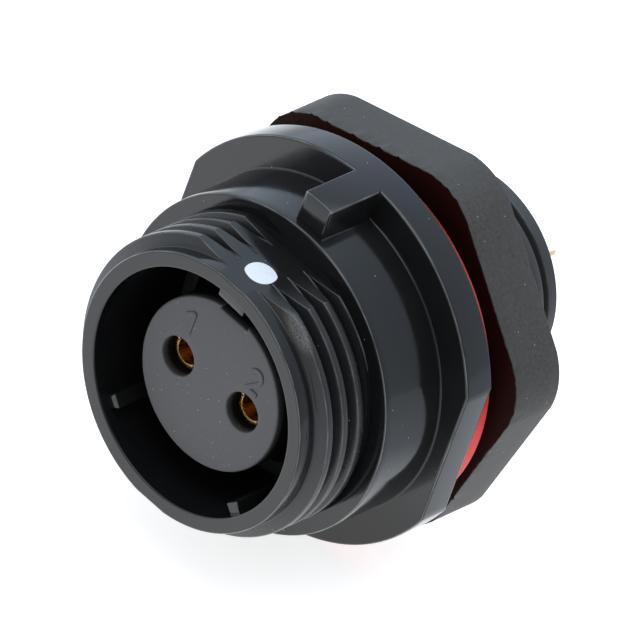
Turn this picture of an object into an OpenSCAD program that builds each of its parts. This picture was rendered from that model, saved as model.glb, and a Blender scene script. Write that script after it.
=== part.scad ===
// Two-pole panel-mount circular connector: a moulded receptacle with socket contacts and a rear nut.
// The axis lies along Y: the mating face looks towards -Y, the polarising lug points to +Z.
// The origin is on the axis at the back of the flange, where gasket and panel seat.
// All lengths are in millimetres.

/* [Flange and shoulder] */
// Diameter of the panel flange
flange_d = 24; // [23.4:0.1:27]
// Thickness of the panel flange
flange_t = 2.1; // [1.6:0.1:3]
// Depth of each of the two wrench flats of the flange, which also sets the size of the nut's wrench
flange_flat_depth = 0.9; // [0.5:0.1:1.5]
// Diameter of the round shoulder in front of the flange
shoulder_d = 20; // [19.4:0.1:20.8]
// Length of the shoulder, from the flange to its front face
shoulder_len = 4.5; // [3.6:0.05:6]
// Width of the polarising lug on top of the shoulder
lug_w = 2.1; // [1.4:0.1:3]
// Distance of the lug's front face behind the shoulder's front face
lug_setback = 0.5; // [0.3:0.05:1.2]
// Chamfer on the moulded outer edges
edge_chamfer = 0.15; // [0.05:0.05:0.25]

/* [Mating barrel] */
// Length of the barrel, from the shoulder to the front rim
barrel_len = 5.15; // [4:0.05:7]
// Diameter of the barrel at the thread's root and at the rim
barrel_d = 16.5; // [16.2:0.1:16.8]
// Bore of the barrel that takes the mating plug's nose
bore_d = 14.6; // [14:0.1:14.9]
// Outside diameter of the coupling thread
thread_d = 18; // [17.6:0.1:18.6]
// Pitch of the coupling thread
thread_pitch = 1.24; // [1:0.02:1.5]
// Width of the coupling thread's crest
thread_crest_w = 0.48; // [0.2:0.02:0.6]
// Depth of the two moulding flats, at top and bottom, below the thread's root
thread_flat_depth = 0.07; // [0.03:0.01:0.09]
// Distance of the thread's start behind the rim, at the bottom flat
thread_start = 0.85; // [0.7:0.05:1.4]
// Length of the coned lead-in at the start of the thread
thread_lead = 0.6; // [0.3:0.05:1]

/* [Polarising keys] */
// Width of the main key inside the bore
key_w = 2; // [1.4:0.1:2.6]
// Height of the main key above the bore's wall
key_h = 0.55; // [0.3:0.05:0.8]
// Distance of the main key behind the rim
key_setback = 0.15; // [0.1:0.05:0.8]
// Width of the two small keys
rib_w = 0.85; // [0.5:0.05:1.2]
// Height of the two small keys above the bore's wall
rib_h = 0.7; // [0.3:0.05:0.9]
// Distance of the small keys behind the rim
rib_setback = 0.6; // [0.2:0.05:1.5]
// Angle of each small key from the main key
rib_angle = 135; // [100:1:150]

/* [Index dot] */
// Diameter of the painted index dot
dot_d = 1.8; // [1:0.1:2.2]
// Depth of the moulded dimple that holds the paint
dot_depth = 0.2; // [0.1:0.05:0.3]
// Distance of the dot's centre behind the rim
dot_setback = 2.35; // [1.8:0.05:3]

/* [Shank] */
// Outside diameter of the shank's thread, which passes the panel hole
shank_d = 12.5; // [12.3:0.1:13]
// Length of the shank behind the flange
shank_len = 11.7; // [10.4:0.1:14]
// Pitch of the shank's thread
shank_pitch = 1; // [0.75:0.05:1.25]
// Width of the shank thread's crest
shank_crest_w = 0.4; // [0.15:0.05:0.45]
// Depth of the shank's thread
shank_thread_h = 0.5; // [0.3:0.05:0.6]
// Depth of the shank's two moulding flats below its thread's root
shank_flat_depth = 0.05; // [0.03:0.01:0.09]
// Distance of the shank thread's last crest from the free end, at the top flat
shank_lead = 0.5; // [0.3:0.05:0.7]
// Chamfer at the free end of the shank
shank_chamfer = 0.25; // [0.1:0.05:0.4]
// Bore of the shank, around the stem of the insert
shank_bore_d = 9.6; // [9.4:0.1:10]
// Thickness of the wall between the barrel's cavity and the back of the flange
floor_t = 2.2; // [1.8:0.1:3]

/* [Contact insert] */
// Diameter of the insert's front boss
insert_d = 10.3; // [9.6:0.1:10.8]
// Distance of the insert's face behind the rim
insert_recess = 1.6; // [1:0.1:2.4]
// Thickness of the flange at the foot of the boss
insert_flange_t = 1; // [0.8:0.1:1.4]
// Distance of the stem's end inside the end of the shank
stem_recess = 0.6; // [0.2:0.1:1.2]
// Wall of the stem around the rear insulator
stem_wall = 0.5; // [0.4:0.05:0.6]
// Distance between the two contacts
contact_spacing = 5.2; // [4.8:0.1:5.4]
// Diameter of the contact holes in the insert's face
contact_hole_d = 2.35; // [2.25:0.05:2.5]
// Width of the shallow keyway in the boss, facing the main key
keyway_w = 2.1; // [1.5:0.1:2.6]
// Depth of that keyway
keyway_depth = 0.3; // [0.1:0.05:0.5]

/* [Socket contacts] */
// Bore of the socket, for the mating pin
socket_bore_d = 1.6; // [1.4:0.05:1.7]
// Outside diameter of the socket
socket_d = 2.2; // [2.05:0.05:2.25]
// Distance of the socket's mouth behind the insert's face
socket_recess = 0.9; // [0.5:0.1:1.6]
// Depth of the socket's bore
socket_depth = 6.5; // [5:0.1:8]
// Width of the two slots that split the socket
slot_w = 0.3; // [0.2:0.05:0.4]
// Length of those slots
slot_len = 4.6; // [3:0.1:5]
// Turn of those slots away from the lug, in degrees
slot_turn = 120; // [0:5:175]
// Diameter of the contact's collar
collar_d = 2.9; // [2.6:0.1:3.1]
// Thickness of the collar
collar_t = 1; // [0.6:0.1:1.4]
// Distance from the panel plane to the front of the collar
collar_y = 3; // [2:0.1:4]
// Outside diameter of the solder cup
cup_d = 2.4; // [2:0.05:2.5]
// Bore of the solder cup
cup_bore_d = 1.9; // [1.4:0.05:2]
// Depth of the solder cup's bore
cup_depth = 3.6; // [3:0.1:4.4]
// Length of the open scoop of the solder cup
scoop_len = 2.6; // [1.5:0.1:2.8]
// How far the scoop is cut past the middle of the cup
scoop_cut = 0.65; // [0:0.05:0.65]
// Length of the solder cup beyond the end of the shank
cup_reach = 4.5; // [3:0.1:6]

/* [Seal and retainers] */
// Section diameter of the seal ring under the insert's flange
seal_section_d = 0.66; // [0.5:0.02:0.9]
// Thickness of the snap ring that holds the insert
ring_t = 0.7; // [0.5:0.05:1]
// Depth of the snap ring's groove in the barrel's wall
ring_groove = 0.5; // [0.3:0.05:0.6]
// Width of the snap ring's bearing inside the bore
ring_bearing = 0.8; // [0.5:0.05:1]
// Opening of the split in the snap ring, in degrees
ring_split = 24; // [10:1:40]
// Distance of the rear insulator's end inside the end of the stem
insulator_recess = 0.55; // [0.2:0.05:2]

/* [Panel gasket] */
// How far the gasket's edge stays inside the wrench flats of the flange
gasket_inset = 0.05; // [-0.6:0.05:0.6]
// Thickness of the panel gasket
gasket_t = 1; // [0.6:0.1:1.6]

/* [Panel nut] */
// Thickness of the nut
nut_t = 3.65; // [3:0.05:4.4]
// Radius of the nut's rounded corners
nut_corner_r = 4.2; // [1.5:0.1:5]
// Height of the faint crease where a flat of the nut meets a rounded corner
nut_crease = 0.02; // [0.01:0.01:0.05]
// Gap between the gasket and the nut as delivered
nut_gap = 0.75; // [0.5:0.05:1.4]
// Turn of the nut's flats away from the lug, in degrees
nut_turn = 16; // [0:1:59]
// Chamfer at both ends of the nut's thread
nut_chamfer = 0.5; // [0.2:0.05:0.8]

/* [Clearances] */
// Radial clearance of the nut and the gasket on the shank
shank_gap = 0.06; // [0.03:0.01:0.2]
// Clearance of the parts that are assembled into one another
fit_gap = 0.05; // [0.02:0.01:0.1]

/* [Hidden] */
$fn = 96;

// How far a cutting or joining shape runs past the surface that it meets
overlap = 0.2;
// How far the flanks of a thread run on below its root, deeper than the moulding flats
thread_foot = 0.1;
// Radius beyond everything, for cuts that open to the outside
outside = flange_d;

// One wrench size for the flange and the nut
wrench = flange_d - 2 * flange_flat_depth;
// Outside diameter of the panel gasket
gasket_d = wrench - 2 * gasket_inset;

// Radii
bore_r = bore_d / 2;
barrel_r = barrel_d / 2;
thread_flat_r = barrel_r - thread_flat_depth;
shank_root_r = shank_d / 2 - shank_thread_h;
shank_bore_r = shank_bore_d / 2;
stem_r = shank_bore_r - fit_gap;
stem_bore_r = stem_r - stem_wall;
insert_flange_r = bore_r - fit_gap;
seal_r = (bore_r + shank_bore_r) / 2;
contact_hole_r = contact_hole_d / 2;
collar_pocket_r = collar_d / 2 + fit_gap;
cup_r = cup_d / 2;

// Stations along the axis, from the rim to the tips of the solder cups
shoulder_y = -flange_t - shoulder_len;
rim_y = shoulder_y - barrel_len;
insert_face_y = rim_y + insert_recess;
socket_mouth_y = insert_face_y + socket_recess;
ledge_y = -floor_t;
insert_flange_back_y = ledge_y - seal_section_d - 2 * fit_gap;
insert_flange_front_y = insert_flange_back_y - insert_flange_t;
ring_back_y = insert_flange_front_y - fit_gap;
ring_front_y = ring_back_y - ring_t;
keys_end_y = ring_front_y - 2 * fit_gap;
lug_y = shoulder_y + lug_setback;
gasket_y = fit_gap;
nut_y = gasket_y + gasket_t + nut_gap;
collar_back_y = collar_y + collar_t;
stem_end_y = shank_len - stem_recess;
insulator_y = collar_back_y + fit_gap;
insulator_end_y = stem_end_y - insulator_recess;
cup_end_y = shank_len + cup_reach;

// Turns the Z axis of its children onto the connector's axis, so that a height becomes a station
module on_axis() {
    rotate([-90, 0, 0]) children();
}

// A plain cylinder between two stations
module rod(r, y0, y1) {
    on_axis() translate([0, 0, y0]) cylinder(r = r, h = y1 - y0);
}

// A ring with square edges between two stations
module ring(outer_r, inner_r, y0, y1) {
    difference() {
        rod(outer_r, y0, y1);
        rod(inner_r, y0 - overlap, y1 + overlap);
    }
}

// Half a turn of thread: a half ring, tilted so that it advances by half a pitch from end to end
// side is 1 for the half at +X and -1 for the half at -X
module half_turn(crest_r, root_r, pitch, crest_w, middle_y, side) {
    tilt = asin(pitch / 4 / crest_r);
    root_w = pitch - crest_w / 2;
    flank_run = (root_w - crest_w) / 2 / (crest_r - root_r);
    foot_r = root_r - thread_foot;
    foot_w = root_w + 2 * flank_run * thread_foot;
    section = [
        [foot_r, -foot_w / 2],
        [crest_r, -crest_w / 2],
        [crest_r, crest_w / 2],
        [foot_r, foot_w / 2]
    ];
    on_axis()
        translate([0, 0, middle_y])
            rotate([side * tilt, 0, 0])
                rotate([0, 0, -90 * side])
                    rotate_extrude(angle = 180)
                        polygon(section);
}

// Right-hand thread made of half turns, whose joints at top and bottom are cut away by the moulding flats
// It starts at station first_y, at the top flat if first_side is 1 and at the bottom flat if it is -1
module thread_turns(crest_r, root_r, pitch, crest_w, first_y, half_turns, first_side) {
    for (half = [0 : half_turns - 1])
        half_turn(crest_r, root_r, pitch, crest_w, first_y + (half / 2 + 0.25) * pitch,
            half % 2 == 0 ? first_side : -first_side);
}

// What the two moulding flats at top and bottom take away between two stations
module moulding_flats(flat_r, y0, y1) {
    for (side = [-1, 1])
        translate([-outside, y0, side > 0 ? flat_r : -flat_r - outside])
            cube([2 * outside, y1 - y0, outside]);
}

// The threaded barrel that takes the plug's coupling ring
module barrel() {
    first_y = rim_y + thread_start;
    half_turns = ceil(2 * (shoulder_y - first_y) / thread_pitch) + 1;
    slope = (thread_d - barrel_d) / 2 / thread_lead;
    difference() {
        union() {
            on_axis()
                rotate_extrude()
                    polygon([
                        [0, rim_y],
                        [barrel_r - edge_chamfer, rim_y],
                        [barrel_r, rim_y + edge_chamfer],
                        [barrel_r, shoulder_y + overlap],
                        [0, shoulder_y + overlap]
                    ]);
            intersection() {
                thread_turns(thread_d / 2, barrel_r, thread_pitch, thread_crest_w, first_y, half_turns, -1);
                on_axis()
                    rotate_extrude()
                        polygon([
                            [0, rim_y + edge_chamfer],
                            [barrel_r, rim_y + edge_chamfer],
                            [barrel_r + 2 * slope * thread_lead, rim_y + edge_chamfer + 2 * thread_lead],
                            [barrel_r + 2 * slope * thread_lead, shoulder_y + overlap],
                            [0, shoulder_y + overlap]
                        ]);
            }
        }
        moulding_flats(thread_flat_r, rim_y - overlap, shoulder_y);
    }
}

// The threaded shank that goes through the panel
module shank() {
    last_y = shank_len - shank_lead;
    turns = floor(last_y / shank_pitch);
    beyond_y = shank_len + 2 * shank_pitch;
    difference() {
        union() {
            rod(shank_root_r, -overlap, shank_len + overlap);
            thread_turns(shank_d / 2, shank_root_r, shank_pitch, shank_crest_w,
                last_y - turns * shank_pitch, 2 * turns + 2, 1);
        }
        moulding_flats(shank_root_r - shank_flat_depth, 0, beyond_y);
        on_axis()
            rotate_extrude()
                polygon([
                    [0, shank_len],
                    [shank_d / 2 - shank_chamfer, shank_len],
                    [shank_d / 2 + overlap, shank_len - shank_chamfer - overlap],
                    [outside, shank_len - shank_chamfer - overlap],
                    [outside, beyond_y],
                    [0, beyond_y]
                ]);
    }
}

// Flange and shoulder, turned in one outline, with the wrench flats cut
module flange() {
    difference() {
        on_axis()
            rotate_extrude()
                polygon([
                    [0, shoulder_y],
                    [shoulder_d / 2 - edge_chamfer, shoulder_y],
                    [shoulder_d / 2, shoulder_y + edge_chamfer],
                    [shoulder_d / 2, -flange_t],
                    [flange_d / 2 - edge_chamfer, -flange_t],
                    [flange_d / 2, -flange_t + edge_chamfer],
                    [flange_d / 2, -edge_chamfer],
                    [flange_d / 2 - edge_chamfer, 0],
                    [0, 0]
                ]);
        for (side = [-1, 1])
            translate([side > 0 ? wrench / 2 : -wrench / 2 - outside, shoulder_y, -outside])
                cube([outside, shoulder_len + flange_t + overlap, 2 * outside]);
    }
}

// Polarising lug on top of the shoulder, its crown level with the flange's rim
module lug() {
    intersection() {
        translate([-lug_w / 2, lug_y, shoulder_d / 2 - 5 * overlap])
            cube([lug_w, -flange_t + overlap - lug_y, outside]);
        rod(flange_d / 2 - edge_chamfer, lug_y - overlap, 0);
    }
}

// One key inside the bore, at an angle from the top
module key(width, height, setback, angle) {
    rotate([0, angle, 0])
        intersection() {
            translate([-width / 2, rim_y + setback, bore_r - height])
                cube([width, keys_end_y - rim_y - setback, height + overlap]);
            ring(bore_r + overlap, bore_r - 2 * height, rim_y, keys_end_y);
        }
}

// The main key and the two small ones, or the slots for them when they are widened by a gap
module keys(gap = 0) {
    key(key_w + 2 * gap, key_h + gap, key_setback, 0);
    for (side = [-1, 1])
        key(rib_w + 2 * gap, rib_h + gap, rib_setback, side * rib_angle);
}

// The hollow of the shell: cavity with its chamfered mouth, snap ring groove and shank bore
module shell_hollow() {
    on_axis()
        rotate_extrude()
            polygon([
                [0, rim_y - overlap],
                [bore_r + edge_chamfer + overlap, rim_y - overlap],
                [bore_r + edge_chamfer, rim_y],
                [bore_r, rim_y + edge_chamfer],
                [bore_r, ring_front_y - fit_gap],
                [bore_r + ring_groove, ring_front_y - fit_gap],
                [bore_r + ring_groove, ring_back_y + fit_gap],
                [bore_r, ring_back_y + fit_gap],
                [bore_r, ledge_y],
                [shank_bore_r, ledge_y],
                [shank_bore_r, shank_len + overlap],
                [0, shank_len + overlap]
            ]);
}

// Dimple for the paint of the index dot, or the paint itself when it is narrowed by a gap
module dot_disc(gap, height) {
    translate([0, rim_y + dot_setback, thread_flat_r - dot_depth + gap])
        cylinder(d = dot_d - 2 * gap, h = height);
}

// The moulded body of the connector
module receptacle_shell() {
    color("#202124")
        difference() {
            union() {
                difference() {
                    union() {
                        flange();
                        barrel();
                        shank();
                        lug();
                    }
                    shell_hollow();
                }
                keys();
            }
            dot_disc(0, dot_depth + overlap);
        }
}

// The insulating body with the two contact holes, which drops in from the front
module contact_insert() {
    color("#4a4b50")
        difference() {
            union() {
                rod(insert_d / 2, insert_face_y, insert_flange_back_y);
                difference() {
                    rod(insert_flange_r, insert_flange_front_y, insert_flange_back_y);
                    flange_slots();
                }
                rod(stem_r, insert_flange_front_y, stem_end_y);
            }
            rod(stem_bore_r, collar_back_y, stem_end_y + overlap);
            translate([-keyway_w / 2, insert_face_y - overlap, insert_d / 2 - keyway_depth])
                cube([keyway_w, insert_flange_front_y - insert_face_y + overlap, keyway_depth + overlap]);
            for (side = [-1, 1])
                translate([side * contact_spacing / 2, 0, 0]) {
                    rod(contact_hole_r, insert_face_y - overlap, collar_y + overlap);
                    rod(collar_pocket_r, collar_y, collar_back_y + overlap);
                }
        }
}

// Slots in the insert's flange, through which it passes the keys when it is fitted
module flange_slots() {
    slot_end = insert_flange_back_y + overlap;
    translate([0, slot_end - keys_end_y, 0]) keys(fit_gap);
}

// Seal ring between the insert's flange and the ledge of the shell
module insert_seal() {
    color("#2a2a2a")
        on_axis()
            translate([0, 0, ledge_y - fit_gap - seal_section_d / 2])
                rotate_extrude()
                    translate([seal_r, 0])
                        circle(d = seal_section_d);
}

// Split snap ring in its groove, which keeps the insert's flange on the seal
module retaining_ring() {
    color("#1a1a1c")
        on_axis()
            translate([0, 0, ring_front_y])
                rotate([0, 0, 90 + ring_split / 2])
                    rotate_extrude(angle = 360 - ring_split)
                        translate([bore_r - ring_bearing, 0])
                            square([ring_bearing + ring_groove - fit_gap, ring_t]);
}

// Plug that holds the collars of the contacts in the insert from behind
module rear_insulator() {
    color("#3a3b3f")
        difference() {
            rod(stem_bore_r - fit_gap, insulator_y, insulator_end_y);
            for (side = [-1, 1])
                translate([side * contact_spacing / 2, 0, 0])
                    rod(cup_r + fit_gap, insulator_y - overlap, insulator_end_y + overlap);
        }
}

// Turned contact: split socket in front, collar, and a solder cup whose scoop opens outwards
// side is 1 for the contact at +X and -1 for the one at -X
module socket_contact(side) {
    bore_end_y = socket_mouth_y + socket_depth;
    scoop_y = cup_end_y - scoop_len;
    color("#c9a24a")
        translate([side * contact_spacing / 2, 0, 0])
            difference() {
                union() {
                    rod(socket_d / 2, socket_mouth_y, collar_y + overlap);
                    rod(collar_d / 2, collar_y, collar_back_y);
                    rod(cup_r, collar_back_y - overlap, cup_end_y);
                }
                rod(socket_bore_d / 2, socket_mouth_y - overlap, bore_end_y);
                rotate([0, slot_turn, 0])
                    translate([-slot_w / 2, socket_mouth_y - overlap, -socket_d])
                        cube([slot_w, slot_len + overlap, 2 * socket_d]);
                rod(cup_bore_d / 2, cup_end_y - cup_depth, cup_end_y + overlap);
                translate([side > 0 ? -scoop_cut : scoop_cut - cup_d, scoop_y, -cup_d])
                    cube([cup_d, scoop_len + overlap, 2 * cup_d]);
            }
}

// Contact number 1, on the left when the mating face is looked at
module socket_contact_1() {
    socket_contact(-1);
}

// Contact number 2, on the right
module socket_contact_2() {
    socket_contact(1);
}

// Paint that fills the dimple on the top flat and marks the main key
module index_dot() {
    color("white") dot_disc(fit_gap / 2, dot_depth);
}

// Rubber washer that seals the flange to the panel
module panel_gasket() {
    color("#c81e1e")
        ring(gasket_d / 2, shank_d / 2 + shank_gap, gasket_y, gasket_y + gasket_t);
}

// Outline of a hexagon with round corners: each tip is cut back to a disc that just crosses the flats
module round_hexagon(across, corner_r, crease) {
    tip_r = across / 2 / cos(30);
    disc_x = (across / 2 - corner_r) / cos(30);
    cut_x = disc_x + corner_r * cos(30);
    difference() {
        circle(r = tip_r, $fn = 6);
        for (corner = [0 : 5])
            rotate(60 * corner)
                difference() {
                    translate([cut_x, -corner_r]) square([tip_r, 2 * corner_r]);
                    translate([disc_x, 0]) circle(r = corner_r + crease);
                }
    }
}

// Hexagon nut that clamps the panel from behind
module panel_nut() {
    hole_r = shank_d / 2 + shank_gap;
    color("#303134")
        difference() {
            on_axis()
                translate([0, 0, nut_y])
                    rotate([0, 0, -nut_turn])
                        linear_extrude(height = nut_t)
                            round_hexagon(wrench, nut_corner_r, nut_crease);
            on_axis()
                rotate_extrude()
                    polygon([
                        [0, nut_y - overlap],
                        [hole_r + nut_chamfer + overlap, nut_y - overlap],
                        [hole_r, nut_y + nut_chamfer],
                        [hole_r, nut_y + nut_t - nut_chamfer],
                        [hole_r + nut_chamfer + overlap, nut_y + nut_t + overlap],
                        [0, nut_y + nut_t + overlap]
                    ]);
        }
}

receptacle_shell();
contact_insert();
insert_seal();
retaining_ring();
rear_insulator();
socket_contact_1();
socket_contact_2();
index_dot();
panel_gasket();
panel_nut();
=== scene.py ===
"""Looks of a two-pole panel-mount circular connector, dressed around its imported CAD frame.

Every surface is worked out in millimetres in the part's own frame: the connector's axis is Y, the mating
face looks towards -Y and the polarising lug points to +Z. An angle phi runs from +Z towards +X, so a point
at radius r and station y is (r sin phi, y, r cos phi). Meshes are scaled to metres when they are made.
"""

import logging
import math
from collections.abc import Sequence
from dataclasses import dataclass, replace
from enum import Enum
from typing import Any

import bmesh
import bpy
import numpy as np
from mathutils import Matrix, Vector
from numpy.typing import NDArray

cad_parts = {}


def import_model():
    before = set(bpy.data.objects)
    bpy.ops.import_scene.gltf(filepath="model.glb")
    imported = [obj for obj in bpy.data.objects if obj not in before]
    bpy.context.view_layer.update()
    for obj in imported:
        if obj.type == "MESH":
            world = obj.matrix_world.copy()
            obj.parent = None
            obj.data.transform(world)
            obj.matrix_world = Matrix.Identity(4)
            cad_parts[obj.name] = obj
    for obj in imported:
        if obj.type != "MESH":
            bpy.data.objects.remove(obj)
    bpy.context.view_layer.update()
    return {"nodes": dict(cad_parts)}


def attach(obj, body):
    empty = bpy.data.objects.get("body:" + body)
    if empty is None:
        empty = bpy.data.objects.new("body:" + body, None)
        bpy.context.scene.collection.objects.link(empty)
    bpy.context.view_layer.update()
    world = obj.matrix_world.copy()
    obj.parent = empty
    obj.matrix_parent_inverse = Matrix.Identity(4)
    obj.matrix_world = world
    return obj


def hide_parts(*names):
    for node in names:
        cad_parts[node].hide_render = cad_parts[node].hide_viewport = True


Array = NDArray[np.float64]
Index = NDArray[np.int64]
Mask = NDArray[np.bool_]
Colour = tuple[float, float, float]
Point = tuple[float, float, float]
Station = tuple[float, float]
Span = tuple[float, float]
Socket = bpy.types.NodeSocket

LOG = logging.getLogger("connector")
MM = 0.001
FULL_TURN = 2.0 * math.pi
UNIT: Span = (0.0, 1.0)
# Vertices in one cell of this size are welded, and the cells are shifted off the round sizes
WELD_STEP = 1e-5
WELD_SHIFT = 0.123
# Heights that differ by less are level, angles are told apart to so many digits, and turns to this share
LEVEL_STEP = 1e-5
ANGLE_DIGITS = 6
TURN_STEP = 1e-9
# Smallest sine or cosine that the distance of a flat is divided by
LEAST_COSINE = 1e-3
# Distance of the rows that hold the shading beside a rounded edge
SUPPORT = 0.03
# Mesh attribute of the painted highlights along the edges, and its values over the rows of a rounded edge
HIGHLIGHT_ATTRIBUTE = "wear"
EDGE_HIGHLIGHT = (0.0, 0.3, 1.0, 0.3, 0.0)


class Body(Enum):
    """The CAD bodies that pieces ride on."""

    RECEPTACLE = "receptacle"
    GASKET = "gasket"
    NUT = "nut"


class Slot(Enum):
    """The record's material slots, which each piece lists."""

    SHELL = "shell_plastic"
    INSERT = "insert_plastic"
    CONTACT = "contact_gold"
    PAINT = "index_paint"
    GASKET = "gasket_rubber"
    NUT = "nut_plastic"


# Grids and meshes


def polar(radius: Array | float, phi: Array | float, y: Array | float) -> Array:
    """Points of a turned surface, (r sin phi, y, r cos phi), with x, y and z on the last axis."""
    r, p, s = np.broadcast_arrays(radius, phi, y)
    return np.stack([r * np.sin(p), s, r * np.cos(p)], axis=-1).astype(float)


def round_corner(corner: Station, radius: float, start: float, end: float, steps: int = 4) -> list[Station]:
    """Stations of a rounded edge in a turned profile: centre plus radius times (cos, sin) of the angle.

    The centre lies one radius from the sharp corner, both across the axis and along it.

    Args:
        corner: Radius and station of the sharp corner.
        radius: Radius of the rounding.
        start: First angle in degrees, from the outward direction towards +Y.
        end: Last angle in degrees.
        steps: Number of chords.

    Returns:
        Pairs of radius and station, from the first angle to the last.
    """
    middle = math.radians((start + end) / 2)
    centre_r = corner[0] - math.copysign(radius, math.cos(middle))
    centre_y = corner[1] - math.copysign(radius, math.sin(middle))
    turn = np.radians(np.linspace(start, end, steps + 1))
    return list(zip(centre_r + radius * np.cos(turn), centre_y + radius * np.sin(turn)))


def front_edge(radius: float, y: float, edge: float) -> list[Station]:
    """The rounded outer edge of a face that looks to the front, after a row that supports it."""
    return [(radius - edge - SUPPORT, y), *round_corner((radius, y), edge, 270, 360)]


def fill_turn(marks: Array, step: float) -> Array:
    """Column angles of a full turn: the marks, with even steps between neighbours.

    Args:
        marks: Angles that must be columns, in radians.
        step: Widest step, in radians.

    Returns:
        Angles from 0 to a full turn.
    """
    ends = np.array([0.0, FULL_TURN])
    known = np.unique(np.round(np.concatenate([ends, np.mod(marks, FULL_TURN)]), ANGLE_DIGITS))
    known[-1] = FULL_TURN
    spans = zip(known[:-1], known[1:])
    parts = [np.linspace(a, b, max(1, math.ceil((b - a) / step)), endpoint=False) for a, b in spans]
    return np.concatenate([*parts, ends[1:]])


@dataclass
class Patch:
    """A sheet of faces, in millimetres.

    Attributes:
        points: Vertices of shape (n, 3).
        quads: Four corners for each face, where a triangle repeats its last one.
        highlight: How far each vertex carries the painted edge highlight, from 0 to 1.
    """

    points: Array
    quads: Index
    wear: Array

    @classmethod
    def from_grid(cls, grid: Array, wear: Array | float = 0.0, height: Array | None = None) -> "Patch":
        """A sheet over a grid of rows and columns, which faces along column direction times row direction.

        Args:
            grid: Points of shape (rows, columns, 3).
            highlight: Painted highlight of each point, or of all of them.
            height: Value at each point whose ridges the faces follow: a face whose corners aren't level is
                split along the diagonal with the greater sum.

        Returns:
            The sheet.
        """
        rows, columns = grid.shape[:2]
        index = np.arange(rows * columns).reshape(rows, columns)
        corners = (index[:-1, :-1], index[:-1, 1:], index[1:, 1:], index[1:, :-1])
        quads = np.stack(corners, axis=-1).reshape(-1, 4)
        if height is not None:
            level = height.ravel()[quads]
            lean = level[:, 0] + level[:, 2] - level[:, 1] - level[:, 3]
            down, up = quads[lean > LEVEL_STEP], quads[lean < -LEVEL_STEP]
            halves = [down[:, [0, 1, 2, 2]], down[:, [0, 2, 3, 3]], up[:, [0, 1, 3, 3]], up[:, [1, 2, 3, 3]]]
            quads = np.concatenate([quads[np.abs(lean) <= LEVEL_STEP], *halves])
        return cls(grid.reshape(-1, 3), quads, np.broadcast_to(wear, grid.shape[:2]).ravel().astype(float))

    @classmethod
    def between(cls, first: Array, second: Array) -> "Patch":
        """Joins two rings about the axis that may have different columns.

        The columns of both rings are taken in the order of their angles, and each adds one triangle to the
        point that the other ring has reached.

        Args:
            first: The ring that comes first along the profile.
            second: The ring that comes next.

        Returns:
            The sheet.
        """
        turns = [np.unwrap(np.arctan2(ring[:, 0], ring[:, 2]))[1:] for ring in (first, second)]
        order = np.argsort(np.concatenate(turns), kind="stable")
        onto_second = np.repeat([0, 1], [len(turns[0]), len(turns[1])])[order]
        near, far = np.cumsum(1 - onto_second), len(first) + np.cumsum(onto_second)
        step_first = np.stack([near - 1, near, far, far], axis=-1)
        step_second = np.stack([near, far, far - 1, far - 1], axis=-1)
        quads = np.where(onto_second[:, None] == 0, step_first, step_second)
        points = np.concatenate([first, second])
        return cls(points, quads, np.zeros(len(points)))


def weld(patches: Sequence[Patch]) -> tuple[Array, Array, list[list[int]]]:
    """Joins sheets whose edges coincide, and drops the faces that have no area.

    Args:
        patches: The sheets.

    Returns:
        The welded vertices, their painted highlight, and the faces with three or four different corners.
    """
    points = np.concatenate([p.points for p in patches])
    starts = np.cumsum([0] + [len(p.points) for p in patches[:-1]])
    quads = np.concatenate([p.quads + start for p, start in zip(patches, starts)])
    key = np.round(points / WELD_STEP + WELD_SHIFT).astype(np.int64)
    _, first, same = np.unique(key, axis=0, return_index=True, return_inverse=True)
    same = same.reshape(-1)
    highlit = np.zeros(len(first))
    np.maximum.at(highlit, same, np.concatenate([p.wear for p in patches]))
    quads = same[quads]
    kept = quads != np.roll(quads, -1, axis=1)
    crossed = (quads[:, 0] == quads[:, 2]) | (quads[:, 1] == quads[:, 3])
    count = np.where(crossed & (kept.sum(axis=1) == 4), 0, kept.sum(axis=1))
    triangles = quads[count == 3][kept[count == 3]].reshape(-1, 3)
    distinct = (triangles[:, 0] != triangles[:, 1]) & (triangles[:, 1] != triangles[:, 2])
    triangles = triangles[distinct & (triangles[:, 0] != triangles[:, 2])]
    corners = np.concatenate([quads[count == 4].ravel(), triangles.ravel()])
    used, packed = np.unique(corners, return_inverse=True)
    packed = packed.reshape(-1)
    split = 4 * int((count == 4).sum())
    faces = packed[:split].reshape(-1, 4).tolist() + packed[split:].reshape(-1, 3).tolist()
    return points[first][used], highlit[used], faces


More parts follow.
